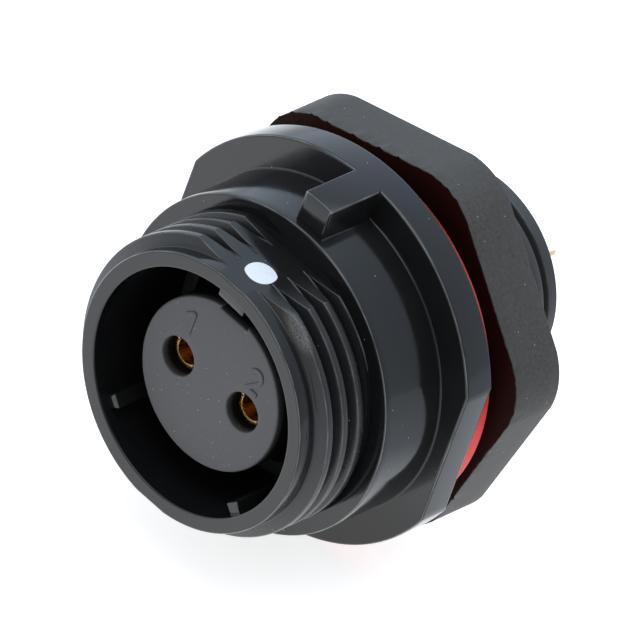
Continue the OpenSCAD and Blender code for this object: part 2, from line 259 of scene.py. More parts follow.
@dataclass
class Piece:
    """One visible piece of the object.

    Attributes:
        name: Name of the Blender object.
        body: CAD body that the piece rides on.
        slot: Material slot of the record; not used.
        node: CAD node that the piece stands for, or None for a detail on another piece.
        crease_deg: Angle between faces above which an edge is shaded sharp.
    """

    name: str
    body: Body
    slot: Slot
    node: str | None = None
    crease_deg: float = 35.0

    def make(self, patches: Sequence[Patch], finish: "Finish") -> bpy.types.Object:
        """Welds the sheets into a mesh, shades and dresses it, and sets it on its body.

        Args:
            patches: The piece's sheets.
            finish: What the piece is made of.

        Returns:
            The finished object, with its place in its mesh.
        """
        points, highlit, faces = weld(patches)
        mesh = bpy.data.meshes.new(self.name)
        mesh.from_pydata((points * MM).tolist(), [], faces)
        mesh.attributes.new(HIGHLIGHT_ATTRIBUTE, "FLOAT", "POINT").data.foreach_set("value", highlit)
        mesh.validate()
        return self.dress(mesh, finish)

    def dress(self, mesh: bpy.types.Mesh, finish: "Finish") -> bpy.types.Object:
        """Makes the object of a finished mesh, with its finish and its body.

        Args:
            mesh: The mesh, in metres.
            finish: What the piece is made of.

        Returns:
            The finished object.
        """
        mesh.polygons.foreach_set("use_smooth", np.ones(len(mesh.polygons), dtype=bool))
        mesh.set_sharp_from_angle(angle=math.radians(self.crease_deg))
        mesh.materials.append(finish.material())
        obj = bpy.data.objects.new(self.name, mesh)
        bpy.context.scene.collection.objects.link(obj)
        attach(obj, self.body.value)
        if self.node:
            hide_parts(self.node)
        mesh.calc_loop_triangles()
        LOG.info("%s: %d triangles on %s", self.name, len(mesh.loop_triangles), self.body.value)
        return obj


# Finishes


class NodeBench:
    """The nodes of a material or of the world, with short ways to add and join them."""

    # Shares of a dot's and of a mask's reach within which they are full
    DOT_CORE = 0.6
    MASK_CORE = 0.45

    def __init__(
        self,
        owner: bpy.types.Material | bpy.types.World,
        shader: str = "Principled BSDF",
        place: str = "Object",
    ) -> None:
        """Starts on the nodes that a new material or world comes with.

        Args:
            owner: The material or world.
            shader: Name of its shader node.
            place: Texture coordinates that its patterns lie on.
        """
        owner.use_nodes = True
        self.tree = owner.node_tree
        self.shader = self.tree.nodes[shader]
        self.place = self.add("TexCoord").outputs[place]

    def add(self, kind: str, **settings: Any) -> bpy.types.Node:
        """Adds a node.

        Args:
            kind: Blender's name of the node type, without its first words.
            settings: Properties of the node.

        Returns:
            The node.
        """
        node = self.tree.nodes.new("ShaderNode" + kind)
        for name, value in settings.items():
            setattr(node, name, value)
        return node

    def feed(self, socket: Socket, value: Any) -> None:
        """Links an output to a socket, or sets the socket's own value.

        Args:
            socket: The socket.
            value: An output, a number, a place or an opaque colour.
        """
        if isinstance(value, bpy.types.NodeSocket):
            self.tree.links.new(value, socket)
        else:
            socket.default_value = (*value, 1.0) if socket.type == "RGBA" else value

    def node(self, kind: str, output: str | int, inputs: dict[str | int, Any], **settings: Any) -> Socket:
        """Adds a node and feeds its sockets.

        Args:
            kind: Blender's name of the node type, without its first words.
            output: The output that is wanted.
            inputs: Values or outputs for its sockets.
            settings: Properties of the node.

        Returns:
            That output.
        """
        node = self.add(kind, **settings)
        for name, value in inputs.items():
            self.feed(node.inputs[name], value)
        return node.outputs[output]

    def noise(self, size_mm: float, detail: float = 2.0, stretch: Point = (1.0, 1.0, 1.0)) -> Socket:
        """Cloudy noise.

        Args:
            size_mm: Size of its features.
            detail: Number of finer octaves.
            stretch: Scale of the pattern along each axis.

        Returns:
            A value from 0 to 1.
        """
        placed = self.node("Mapping", "Vector", {"Vector": self.place, "Scale": stretch})
        scale = 1.0 / (size_mm * MM)
        return self.node("TexNoise", "Fac", {"Vector": placed, "Scale": scale, "Detail": detail})

    def specks(self, spacing_mm: float, size: float) -> Socket:
        """Sparse small dots: 1 within a distance of scattered points, 0 elsewhere.

        Args:
            spacing_mm: Mean distance between the points.
            size: Radius of a dot as a share of that distance.

        Returns:
            The dots' mask.
        """
        scale = 1.0 / (spacing_mm * MM)
        away = self.node("TexVoronoi", "Distance", {"Vector": self.place, "Scale": scale})
        return self.remap(away, (size, self.DOT_CORE * size))

    def remap(self, value: Any, span: Span, to: Span = UNIT) -> Socket:
        """Maps a span of a value linearly to another span, clamped at its ends."""
        ends = zip(("From Min", "From Max", "To Min", "To Max"), (*span, *to))
        return self.node("MapRange", "Result", {"Value": value, **dict(ends)})

    def ramp(self, value: Any, span_mm: Span, to: Span = UNIT) -> Socket:
        """Maps a span of a length, given in millimetres, to another span."""
        return self.remap(value, (span_mm[0] * MM, span_mm[1] * MM), to)

    def math(self, operation: str, first: Any, *others: Any) -> Socket:
        """Carries a plain operation through two or more values.

        Args:
            operation: Blender's name of the operation.
            first: The first value.
            others: The values that follow.

        Returns:
            The result.
        """
        result = first
        for other in others:
            result = self.node("Math", 0, {0: result, 1: other}, operation=operation)
        return result

    def mix(self, share: Any, first: Any, second: Any) -> Socket:
        """Mixes two colours by the share of the second one."""
        return self.node("Mix", 2, {"Factor": share, 6: first, 7: second}, data_type="RGBA")

    def length(self, vector: Any) -> Socket:
        """The length of a vector."""
        return self.node("VectorMath", "Value", {0: vector}, operation="LENGTH")

    def near(self, centre_mm: Point, reach_mm: Point) -> Socket:
        """A soft ball-shaped mask: 1 about a place on the piece, 0 beyond its reach.

        Args:
            centre_mm: Middle of the mask in the part's frame.
            reach_mm: Its reach along each axis.

        Returns:
            The mask.
        """
        place = {"Location": [c * MM for c in centre_mm], "Scale": [r * MM for r in reach_mm]}
        off = self.node("Mapping", "Vector", {"Vector": self.place, **place}, vector_type="TEXTURE")
        return self.remap(self.length(off), (1.0, self.MASK_CORE))

    def along(self, axis: str) -> Socket:
        """One coordinate of the place, in metres."""
        return self.node("SeparateXYZ", axis, {"Vector": self.place})

    def from_axis(self) -> Socket:
        """The distance from the axis, in metres."""
        flat = {0: self.place, 1: (1.0, 0.0, 1.0)}
        return self.length(self.node("VectorMath", "Vector", flat, operation="MULTIPLY"))

    def bump(self, height: Any, depth_mm: float, **below: Any) -> Socket:
        """A bump normal from a height of 0 to 1, which may lie on a coarser one that is given as Normal."""
        return self.node("Bump", "Normal", {"Distance": depth_mm * MM, "Height": height, **below})

    def finish(self, **inputs: Any) -> None:
        """Feeds the shader's sockets, by their names with underscores."""
        for name, value in inputs.items():
            self.feed(self.shader.inputs[name.replace("_", " ")], value)


@dataclass(frozen=True)
class Finish:
    """A finish with a name and a base colour, in linear light."""

    name: str
    colour: Colour

    def material(self) -> bpy.types.Material:
        """The finish's material, made at its first use.

        Returns:
            The material.
        """
        made = bpy.data.materials.get(self.name)
        if not made:
            made = bpy.data.materials.new(self.name)
            self.build(NodeBench(made))
        return made

    def build(self, bench: NodeBench) -> None:
        """Joins the material's nodes."""
        raise NotImplementedError

    def toned(self, share: float) -> Colour:
        """A share of the base colour."""
        red, green, blue = self.colour
        return (share * red, share * green, share * blue)


@dataclass(frozen=True)
class MouldedGloss(Finish):
    """Glossy black moulding with faint flow marks, dust, painted edge highlights and bore shade, and a
    scuffed thread start.

    Attributes:
        roughness: Roughness where the surface is smoothest and where it is least smooth.
        dulled: Roughness that dull places add.
        gloss: Specular level outside the bore and inside it.
        dust: Colour of the dust.
        highlighted: Colour of the painted highlights along the edges.
        scuffed: Colour of the scuffed flank.
        scuff_at: Middle of the scuff.
        scuff_reach: Reach of the scuff along each axis.
        turned_at: Middle of the neck with turned lines.
        turned_reach: Reach of those lines along each axis.
        inside: Radius of the bore's mouth and stations between which the inside of the bore gets painted
            shade, a darker colour and lower gloss.
        bore_shade_tone: Share of the base colour that the painted shade leaves there.
        thread_zone: Radius outside which and station in front of which the thread is satin.
        thread_tone: Colour of the satin thread.
        thread_share: How far the thread takes that colour.
        shank_y: Stations where the matt shank starts and where it is full.
        shank_tone: Colour of the matt shank.
    """

    roughness: Span = (0.09, 0.16)
    dulled: float = 0.3
    gloss: Span = (0.5, 0.12)
    dust: Colour = (0.45, 0.46, 0.48)
    highlighted: Colour = (0.33, 0.335, 0.34)
    scuffed: Colour = (0.15, 0.15, 0.14)
    scuff_at: Point = (4.4, -10.38, 7.6)
    scuff_reach: Point = (1.8, 0.36, 1.4)
    turned_at: Point = (6.4, -11.1, 3.0)
    turned_reach: Point = (4.2, 0.85, 6.0)
    inside: tuple[float, float, float] = (7.4, -11.1, -1.5)
    bore_shade_tone: float = 0.7
    thread_zone: tuple[float, float] = (8.3, -6.7)
    thread_tone: Colour = (0.03, 0.0303, 0.0308)
    thread_share: float = 0.45
    shank_y: Span = (0.5, 0.7)
    shank_tone: Colour = (0.045, 0.045, 0.046)

    def build(self, bench: NodeBench) -> None:
        """Flow in the base colour, then shank, thread, dust, painted edge highlights, scuff and painted bore
        shade over it in turn.

        Each place is a product of soft masks of the station and of the distance from the axis. The turned
        lines are noise that is drawn out across the axis.

        Args:
            bench: The material's nodes.
        """
        station, radius = bench.along("Y"), bench.from_axis()
        flow, grain = bench.noise(1.6, 3.0), bench.noise(0.09)
        mouth_r, mouth_y, floor_y = self.inside
        # Painted shade inside the bore: behind its mouth the colour darkens and the gloss drops
        within = bench.math(
            "MULTIPLY",
            bench.ramp(radius, (mouth_r + 0.06, mouth_r - 0.06)),
            bench.ramp(station, (floor_y + 0.5, floor_y)),
            bench.ramp(station, (mouth_y, mouth_y + 0.05)),
        )
        crest_r, crest_y = self.thread_zone
        crest = bench.ramp(radius, (crest_r, crest_r + 0.3), (0.0, self.thread_share))
        satin = bench.math("MULTIPLY", crest, bench.ramp(station, (crest_y + 0.05, crest_y)))
        shank = bench.ramp(station, self.shank_y)
        # Painted highlights along the rounded edges: the mesh attribute, broken up by noise, lightens the
        # colour
        highlit = bench.math("POWER", bench.add("Attribute", attribute_name=HIGHLIGHT_ATTRIBUTE).outputs["Fac"], 3.0)
        edge = bench.math("MULTIPLY", highlit, bench.remap(bench.noise(1.3), (0.35, 0.65), (0.35, 1.0)))
        rough_scuff = bench.remap(grain, (0.35, 0.6), (0.25, 1.0))
        scuff = bench.math("MULTIPLY", bench.near(self.scuff_at, self.scuff_reach), rough_scuff)
        lines = bench.remap(bench.noise(0.09, 0.0, (0.012, 1.0, 0.012)), (0.52, 0.58))
        lines = bench.math("MULTIPLY", lines, bench.near(self.turned_at, self.turned_reach))
        colour = bench.mix(flow, self.toned(0.75), self.colour)
        layers = (
            (shank, self.shank_tone),
            (satin, self.thread_tone),
            (bench.specks(0.95, 0.038), self.dust),
            (bench.math("MULTIPLY", edge, 0.85), self.highlighted),
            (scuff, self.scuffed),
            (within, self.toned(self.bore_shade_tone)),
        )
        for mask, tone in layers:
            colour = bench.mix(mask, colour, tone)
        normal = bench.bump(flow, 0.002)
        for height, depth in ((grain, 0.0006), (lines, 0.02)):
            normal = bench.bump(height, depth, Normal=normal)
        dull = bench.math("MAXIMUM", edge, scuff, bench.math("ADD", within, shank), satin)
        rough = bench.remap(flow, (0.3, 0.7), self.roughness)
        bench.finish(
            Base_Color=colour,
            Roughness=bench.math("ADD", rough, bench.math("MULTIPLY", dull, self.dulled)),
            Normal=normal,
            IOR=1.52,
            Specular_IOR_Level=bench.remap(within, UNIT, self.gloss),
        )


@dataclass(frozen=True)
class MouldedMatt(Finish):
    """Matt moulded plastic with a fine grain and pale specks.

    Attributes:
        roughness: Mean roughness.
        uneven: How far the grain changes the roughness.
        gloss: Specular level outside the painted shade and in it.
        grain_mm: Size of the grain.
        grain_depth: Height of the grain.
        contrast: How far the grain changes the colour.
        speck: Colour of the specks.
        speck_mm: Mean distance between specks.
        speck_size: Radius of a speck as a share of their distance.
        shade_at: Stations where the painted shade starts and where it is full, or None.
        shade: Share of each colour channel that the painted shade leaves.
    """

    roughness: float = 0.7
    uneven: float = 0.08
    gloss: Span = (0.5, 0.08)
    grain_mm: float = 0.12
    grain_depth: float = 0.012
    contrast: float = 0.22
    speck: Colour = (0.34, 0.34, 0.34)
    speck_mm: float = 0.8
    speck_size: float = 0.05
    shade_at: Span | None = None
    shade: Colour = (0.1, 0.1, 0.1)

    def build(self, bench: NodeBench) -> None:
        """Grain in colour, roughness and bump, with a cloud over it, sparse specks and painted shade.

        Args:
            bench: The material's nodes.
        """
        grain, cloud = bench.noise(self.grain_mm, 4.0), bench.noise(2.4)
        low, high = self.toned(1.0 - self.contrast), self.toned(1.0 + self.contrast)
        colour = bench.mix(bench.remap(grain, (0.25, 0.75)), low, high)
        colour = bench.mix(bench.remap(cloud, (0.3, 0.7), (0.0, 0.5)), colour, self.colour)
        colour = bench.mix(bench.specks(self.speck_mm, self.speck_size), colour, self.speck)
        gloss: Any = self.gloss[0]
        if self.shade_at:
            # Painted shade: over a span of stations the colour darkens and the gloss drops
            painted_shade = bench.ramp(bench.along("Y"), self.shade_at)
            gloss = bench.remap(painted_shade, UNIT, self.gloss)
            colour = bench.mix(painted_shade, colour, tuple(s * c for s, c in zip(self.shade, self.colour)))
        ends = (self.roughness - self.uneven, self.roughness + self.uneven)
        bench.finish(
            Base_Color=colour,
            Roughness=bench.remap(grain, (0.2, 0.8), ends),
            Normal=bench.bump(grain, self.grain_depth, Normal=bench.bump(cloud, 0.01)),
            IOR=1.5,
            Specular_IOR_Level=gloss,
        )


@dataclass(frozen=True)
class GoldPlate(Finish):
    """Gold plating over turned brass, with fine lathe rings along the axis."""

    roughness: Span = (0.19, 0.32)

    def build(self, bench: NodeBench) -> None:
        """Metal whose bump is noise drawn out around the axis, and whose tone varies a little.

        Args:
            bench: The material's nodes.
        """
        cloud, rings = bench.noise(0.9), bench.noise(0.05, 1.0, (0.06, 1.0, 0.06))
        bench.finish(
            Base_Color=bench.mix(cloud, self.toned(0.8), self.colour),
            Roughness=bench.remap(cloud, (0.3, 0.7), self.roughness),
            Metallic=1.0,
            Normal=bench.bump(rings, 0.0015),
        )


@dataclass(frozen=True)
class Rubber(Finish):
    """Pressed rubber: a dull surface with soft mottling and fine pores."""

    roughness: Span = (0.49, 0.61)

    def build(self, bench: NodeBench) -> None:
        """Mottled colour over fine pores.

        Args:
            bench: The material's nodes.
        """
        mottle, pores = bench.noise(0.7, 3.0), bench.noise(0.08)
        bench.finish(
            Base_Color=bench.mix(mottle, self.toned(0.85), self.colour),
            Roughness=bench.remap(pores, (0.2, 0.8), self.roughness),
            Normal=bench.bump(pores, 0.006),
        )


@dataclass(frozen=True)
class Paint(Finish):
    """Thick glossy paint with a faint orange-peel surface."""

    roughness: Span = (0.25, 0.35)

    def build(self, bench: NodeBench) -> None:
        """Even paint with a slow swell and a slight tint.

        Args:
            bench: The material's nodes.
        """
        swell = bench.noise(0.5, 1.0)
        bench.finish(
            Base_Color=bench.mix(swell, self.toned(0.95), self.colour),
            Roughness=bench.remap(swell, (0.3, 0.7), self.roughness),
            Normal=bench.bump(swell, 0.004),
        )


SHELL_FINISH = MouldedGloss("shell_black", (0.0115, 0.0118, 0.0125))
# The boss's sides behind the face get painted shade, darker with depth into the recess
INSERT_FINISH = MouldedMatt(
    "insert_grey",
    (0.0725, 0.0725, 0.0765),
    roughness=0.62,
    grain_mm=0.1,
    contrast=0.2,
    speck_mm=0.5,
    speck_size=0.08,
    shade_at=(-10.05, -9.6),
)
NUMBER_FINISH = MouldedMatt("number_grey", (0.055, 0.056, 0.06), roughness=0.5, grain_mm=0.1, speck_size=0.02)
# The nut's front face gets painted shade tinted deep red, a painted reflection of the red gasket
NUT_FINISH = MouldedMatt(
    "nut_charcoal",
    (0.06, 0.0545, 0.0495),
    roughness=0.6,
    grain_mm=0.2,
    grain_depth=0.03,
    contrast=0.45,
    speck_size=0.065,
    shade_at=(1.87, 1.82),
    shade=(0.3, 0.07, 0.05),
)
INNER_FINISH = MouldedMatt(
    "inner_black", (0.007, 0.007, 0.0075), roughness=0.6, grain_depth=0.004, speck_size=0.02
)
INSULATOR_FINISH = MouldedMatt("insulator_grey", (0.05, 0.05, 0.054), roughness=0.6)
GASKET_FINISH = Rubber("gasket_red", (0.72, 0.03, 0.022))
SEAL_FINISH = Rubber("seal_black", (0.018, 0.018, 0.018))
GOLD_FINISH = GoldPlate("contact_gold_plate", (0.66, 0.41, 0.13))
PAINT_FINISH = Paint("index_white", (0.9, 0.93, 0.97))


# The receptacle's shell


@dataclass(frozen=True)
class HelixThread:
    """A right-hand thread whose crest advances by one pitch a turn, cut by two flats at top and bottom.

    Attributes:
        crest_r: Radius of the crest.
        root_r: Radius of the root.
        pitch: Advance in one turn.
        crest_w: Width of the crest.
        first_y: Station at the top of the crest line from which turns are counted.
        flat_r: Distance of the flats from the axis.
        start_turn: Turns along the crest line at which the thread starts.
        end_turn: Turns, counted at the top, behind whose crest line the thread stays full.
        corner: Length of the roundings at crest and root.
        corner_rows: Chords of a rounding.
        flank_rows: Rows on a flank between its roundings.
        step_deg: Widest step between columns.
        support_deg: Step beyond the outermost corner of a flat.
        crest_highlight: Painted highlight along the edges of the crest.
        crest_spread: Width of that highlight as a share of the roundings.
        cut_highlight: Painted highlight where a flat cuts the leading and the trailing flank.
        cut_height: Height above the root from which such an edge gets the highlight.
    """

    crest_r: float
    root_r: float
    pitch: float
    crest_w: float
    first_y: float
    flat_r: float
    start_turn: float
    end_turn: float = math.inf
    corner: float = 0.1
    corner_rows: int = 3
    flank_rows: int = 4
    step_deg: float = 2.0
    support_deg: float = 0.3
    crest_highlight: float = 0.85
    crest_spread: float = 0.6
    cut_highlight: tuple[float, float] = (1.0, 0.4)
    cut_height: float = 0.1

    def half_profile(self) -> Array:
        """Offset and radius from the middle of the crest to the middle of the groove.

        Crest, flank and root are straight, and a parabola rounds each corner between them:
        (1 - u)^2 before + 2 u (1 - u) corner + u^2 after. The rows of the flank lie where the flats cut it
        at even angles, at the radius flat / cos angle.

        Returns:
            Pairs of shape (rows, 2).
        """
        crest = np.array([self.crest_w / 2, self.crest_r])
        root = np.array([self.pitch / 2 - self.crest_w / 4, self.root_r])
        flank = self.corner * (root - crest) / np.linalg.norm(root - crest)
        along = np.array([self.corner, 0.0])
        u = np.linspace(0.0, 1.0, self.corner_rows + 1)[:, None]
        outer = (1 - u) ** 2 * (crest - along) + 2 * u * (1 - u) * crest + u**2 * (crest + flank)
        inner = (1 - u) ** 2 * (root - flank) + 2 * u * (1 - u) * root + u**2 * (root + along)
        ends = np.arccos(np.minimum(self.flat_r / np.array([outer[-1, 1], inner[0, 1]]), 1.0))
        share = np.linspace(0.0, 1.0, self.flank_rows + 2)[1:-1, None]
        if ends[0] > 0.0:
            cut = self.flat_r / np.cos(ends[0] * (1 - share) + ends[1] * share)
            share = (outer[-1, 1] - cut) / (outer[-1, 1] - inner[0, 1])
        face = outer[-1] * (1 - share) + inner[0] * share
        return np.concatenate([[[0.0, self.crest_r]], outer, face, inner, [[self.pitch / 2, self.root_r]]])

    def columns(self) -> Array:
        """Column angles: where the flats meet each radius of the profile, and even steps between.

        Returns:
            Angles from 0 to a full turn.
        """
        meets = np.arccos(np.minimum(self.flat_r / self.half_profile()[:, 1], 1.0))
        quarter = np.append(meets, meets.max() + math.radians(self.support_deg))
        marks = [quarter, math.pi - quarter, math.pi + quarter, -quarter]
        return fill_turn(np.concatenate(marks), math.radians(self.step_deg))

    def reach(self, phi: Array, inset: Array | float = 0.0) -> Array:
        """Radius of the two flats at an angle, drawn in by an inset: their distance over |cos phi|."""
        return (self.flat_r - inset) / np.maximum(np.abs(np.cos(phi)), LEAST_COSINE)

    def ridge(self, phi: Array, y: Array) -> tuple[Array, Array]:
        """Radius of the thread before the flats are cut, and painted highlight along the edges of its crest.

        The radius follows the profile at the distance to the nearest crest line. It stays at the root in
        front of the thread's start and at the crest behind its end.

        Args:
            phi: Angles.
            y: Stations.

        Returns:
            Radius and painted highlight.
        """
        turn = (y - self.first_y) / self.pitch - phi / FULL_TURN
        crest = np.round(turn)
        away = np.abs(turn - crest) * self.pitch
        offset, radius = self.half_profile().T
        away = np.where(turn + (phi > math.pi) > self.end_turn, 0.0, away)
        there = crest + phi / FULL_TURN >= self.start_turn - TURN_STEP
        spread = self.crest_spread * self.corner
        wear = self.crest_highlight * np.exp(-(((away - self.crest_w / 2) / spread) ** 2))
        ridge = np.interp(away, offset, radius)
        return np.where(there, ridge, self.root_r), np.where(there, wear, 0.0)

    def surface(self, phi: Array, start: float, end: float) -> tuple[Array, Array, Array]:
        """The thread as a grid whose rows follow the helix and stop at two stations.

        A row lies at a fixed offset from its crest line, first_y + pitch (k + phi / 2 pi), and is held
        between start and end.

        Args:
            phi: Column angles from 0 to a full turn.
            start: First station.
            end: Last station.

        Returns:
            Points, painted highlight and radius, each with rows and columns.
        """
        half = self.half_profile()[:, 0]
        across = np.concatenate([-half[:0:-1], half[:-1]])
        first = math.floor((start - self.first_y) / self.pitch) - 2
        last = math.ceil((end - self.first_y) / self.pitch) + 1
        lines = (np.arange(first, last)[:, None] * self.pitch + across).ravel()
        y = np.clip(self.first_y + lines[:, None] + self.pitch * phi / FULL_TURN, start, end)
        ridge, wear = self.ridge(phi, y)
        reach = np.broadcast_to(self.reach(phi), y.shape)
        radius = np.minimum(ridge, reach)
        on_edge = (np.abs(ridge - reach) < 2 * LEVEL_STEP) & (ridge > self.root_r + self.cut_height)
        leading = np.tile(across < 0.0, last - first)[:, None]
        cut = np.where(leading, *self.cut_highlight)
        wear = np.where(on_edge, cut, np.where(ridge > reach, 0.0, wear))
        return polar(radius, phi, y), wear, radius


@dataclass(frozen=True)
class RadialBump:
    """A key or lug with parallel sides on a turned surface.

    Its outline across the axis runs from the crown over a rounded edge, a side wall and a rounded foot onto
    the base circle. A crown inside the base circle makes a key in a bore.

    Attributes:
        centre: Angle of its middle, in radians.
        half_width: Half of its width.
        base_r: Radius of the surface that carries it.
        crown_r: Radius of its crown.
        window: Half of the angle whose columns it takes, in radians.
        edge: Radius of its rounded edges.
        flat_crown: Whether the crown is flat rather than turned.
    """

    # Points of the crown, of the edge and of the foot, and the shares of the window where these end
    POINTS = 6
    CROWN_END = 0.4
    EDGE_END = 0.6
    FOOT = (0.7, 0.86)
    # Shares of the window between which the edge gets a painted highlight, and its level there
    HIGHLIGHTED = (0.43, 0.57)
    HIGHLIGHT_LEVEL = 0.8

    centre: float
    half_width: float
    base_r: float
    crown_r: float
    window: float
    edge: float
    flat_crown: bool = False

    def shares(self) -> Array:
        """Shares of the window at which its outline has points: crown, edge, foot and border.

        Returns:
            Shares from 0 to 1.
        """
        crown = np.linspace(0.0, self.CROWN_END, self.POINTS)
        edge = np.linspace(self.CROWN_END, self.EDGE_END, self.POINTS)[1:]
        return np.concatenate([crown, edge, np.linspace(*self.FOOT, self.POINTS), [1.0]])

    def columns(self) -> Array:
        """Angles that its outline needs as columns."""
        off = self.window * self.shares()
        return self.centre + np.concatenate([-off, off])

    def outline(self, share: Array, inset: float) -> tuple[Array, Array]:
        """Its outline at shares of the window, from 0 at the middle to 1 at the border.

        Args:
            share: Shares of the window.
            inset: How far the crown and the sides are drawn in.

        Returns:
            Offset across and height along its middle direction.
        """
        sign = math.copysign(1.0, self.crown_r - self.base_r)
        width, crown = self.half_width - inset, self.crown_r - sign * inset
        top = crown if self.flat_crown else math.sqrt(crown**2 - (width - self.edge) ** 2)
        foot = math.sqrt(self.base_r**2 - (width + self.edge) ** 2)
        turn = np.radians(np.linspace(0, 90, self.POINTS))
        across = np.linspace(0, width - self.edge, self.POINTS)
        crown_z = np.full_like(across, crown) if self.flat_crown else np.sqrt(crown**2 - across**2)
        over = width - self.edge + self.edge * np.sin(turn[1:])
        u = np.concatenate([across, over, width + self.edge * (1 - np.cos(turn))])
        fall = top - sign * self.edge * (1 - np.cos(turn[1:]))
        z = np.concatenate([crown_z, fall, foot + sign * self.edge * (1 - np.sin(turn))])
        u = np.append(u, self.base_r * math.sin(self.window))
        z = np.append(z, self.base_r * math.cos(self.window))
        return np.interp(share, self.shares(), u), np.interp(share, self.shares(), z)

    def section(self, phi: Array, inset: float = 0.0) -> tuple[Mask, Array, Array, Array]:
        """Angle and radius of its outline at the columns in its window.

        Args:
            phi: All column angles.
            inset: How far the crown and the sides are drawn in.

        Returns:
            The mask of columns, and their angles, radii and painted highlight.
        """
        off = np.angle(np.exp(1j * (phi - self.centre)))
        inside = np.abs(off) < self.window + LEVEL_STEP
        share = np.abs(off[inside]) / self.window
        u, z = self.outline(share, inset)
        highlighted = (share > self.HIGHLIGHTED[0]) & (share < self.HIGHLIGHTED[1])
        wear = np.where(highlighted, self.HIGHLIGHT_LEVEL, 0.0)
        return inside, self.centre + np.arctan2(np.sign(off[inside]) * u, z), np.hypot(u, z), wear


@dataclass
class ReceptacleShell:
    """The moulded body: barrel with coupling thread and keys, shoulder with lug, flange and shank.

    Its profile is walked from the end of the shank's bore forwards to the rim, back over the outside and
    round the shank's end. Each stretch has columns of its own, and flat rings join the stretches.
    """

    rim_y: float = -11.75
    neck_y: float = -11.6
    shoulder_y: float = -6.6
    flange_y: float = -2.1
    barrel_r: float = 8.25
    bore_r: float = 7.3
    shoulder_r: float = 10.0
    flange_r: float = 12.0
    wrench_r: float = 11.1
    shank_end: float = 11.9
    shank_chamfer: float = 0.2
    shank_bore_r: float = 4.8
    shank_bore_edge: float = 0.15
    ledge_y: float = -2.2
    groove: tuple[float, float, float] = (7.8, -3.96, -4.76)
    rim_edge: float = 0.11
    shoulder_edge: float = 0.12
    fillet: float = 0.12
    flange_edge: float = 0.14
    flange_back_edge: float = 0.2
    lug_y: float = -6.1
    key_y: float = -11.6
    rib_y: float = -11.15
    keys_end: float = -4.81
    # A bump's rounded front edge: how far back and how far drawn in, as shares of the edge, and its painted
    # highlight
    bend: tuple[Station, ...] = ((1.0, 0.0), (0.3, 0.3), (0.0, 1.0))
    bend_highlight: tuple[float, ...] = (0.0, 1.0, 0.0)
    bore_step_deg: float = 3.0
    collar_step_deg: float = 2.0
    flat_support_deg: float = 0.4
    thread: HelixThread = HelixThread(9.0, barrel_r, 1.24, 0.4, -11.52, 8.18, 0.5, corner=0.06, flank_rows=9)
    shank_thread: HelixThread = HelixThread(
        6.25, 5.75, 1.0, 0.5, 0.2, 6.4, -2.0, 11.0, 0.06, corner_rows=2, flank_rows=2, step_deg=4.0
    )
    lug: RadialBump = RadialBump(0.0, 1.05, shoulder_r, flange_r, math.radians(8.0), 0.1)
    key: RadialBump = RadialBump(math.radians(3.0), 1.0, bore_r, 6.75, math.radians(10.0), 0.06, True)
    rib: RadialBump = RadialBump(math.radians(135.0), 0.425, bore_r, 6.6, math.radians(5.0), 0.06, True)
    ribs: tuple[RadialBump, ...] = (rib, replace(rib, centre=-rib.centre))

    def bore(self) -> Array:
        """The bore from the shank's end to the rim's face, with ledge, ring groove, main key and ribs.

        Rows are plain circles, and on the rows that a key or rib reaches its outline takes their place.

        Returns:
            Rings of shape (rows, columns, 3).
        """
        marks = np.concatenate([bump.columns() for bump in (self.key, *self.ribs)])
        phi = fill_turn(marks, math.radians(self.bore_step_deg))
        groove_r, groove_back, groove_front = self.groove
        rows = round_corner((self.shank_bore_r, self.shank_end), self.shank_bore_edge, 90, 180, 3)
        rows += [(self.shank_bore_r, self.ledge_y), (self.bore_r, self.ledge_y), (self.bore_r, groove_back)]
        rows += [(groove_r, groove_back), (groove_r, groove_front), (self.bore_r, groove_front)]
        e = self.key.edge
        # Station, and how far the key and the ribs are drawn in there, or None where they aren't
        keyed: list[tuple[float, float | None, float | None]] = [(self.keys_end, None, None)]
        keyed += [(self.keys_end, 0.0, 0.0)]
        keyed += [(self.rib_y + e * back, 0.0, e * inset) for back, inset in self.bend]
        keyed += [(self.rib_y, 0.0, None)]
        keyed += [(self.key_y + e * back, e * inset, None) for back, inset in self.bend]
        keyed += [(self.key_y, None, None)]
        mouth = round_corner((self.bore_r, self.rim_y), self.rim_edge, 180, 270)
        mouth += [(self.bore_r + self.rim_edge + SUPPORT, self.rim_y)]
        r, y = np.array(rows + [(self.bore_r, row[0]) for row in keyed] + mouth).T
        grid = polar(r[:, None], phi, y[:, None])
        for row, (station, key_inset, rib_inset) in enumerate(keyed, start=len(rows)):
            insets = [(self.key, key_inset), *((rib, rib_inset) for rib in self.ribs)]
            for bump, inset in insets:
                if inset is not None:
                    inside, angle, radius, _ = bump.section(phi, inset)
                    grid[row, inside] = polar(radius, angle, station)
        return grid

    def barrel(self) -> tuple[Array, Array, Array]:
        """The outside of the barrel: the rim's outer edge, the neck and the thread up to the shoulder.

        Returns:
            Points, wear and radius, each with rows and columns.
        """
        phi = self.thread.columns()
        r, y = np.array(front_edge(self.barrel_r, self.rim_y, self.rim_edge)).T[..., None]
        radius = np.minimum(r, self.thread.reach(phi, self.barrel_r - r))
        grid, wear, thread_r = self.thread.surface(phi, self.neck_y, self.shoulder_y)
        foot = thread_r[-1:] + SUPPORT
        edge_highlight = np.array([0.0, *EDGE_HIGHLIGHT])[:, None] * np.ones_like(phi)
        points = np.concatenate([polar(radius, phi, y), grid, polar(foot, phi, self.shoulder_y)])
        highlit = np.concatenate([edge_highlight, wear, np.zeros_like(foot)])
        return points, highlit, np.concatenate([radius, thread_r, foot])

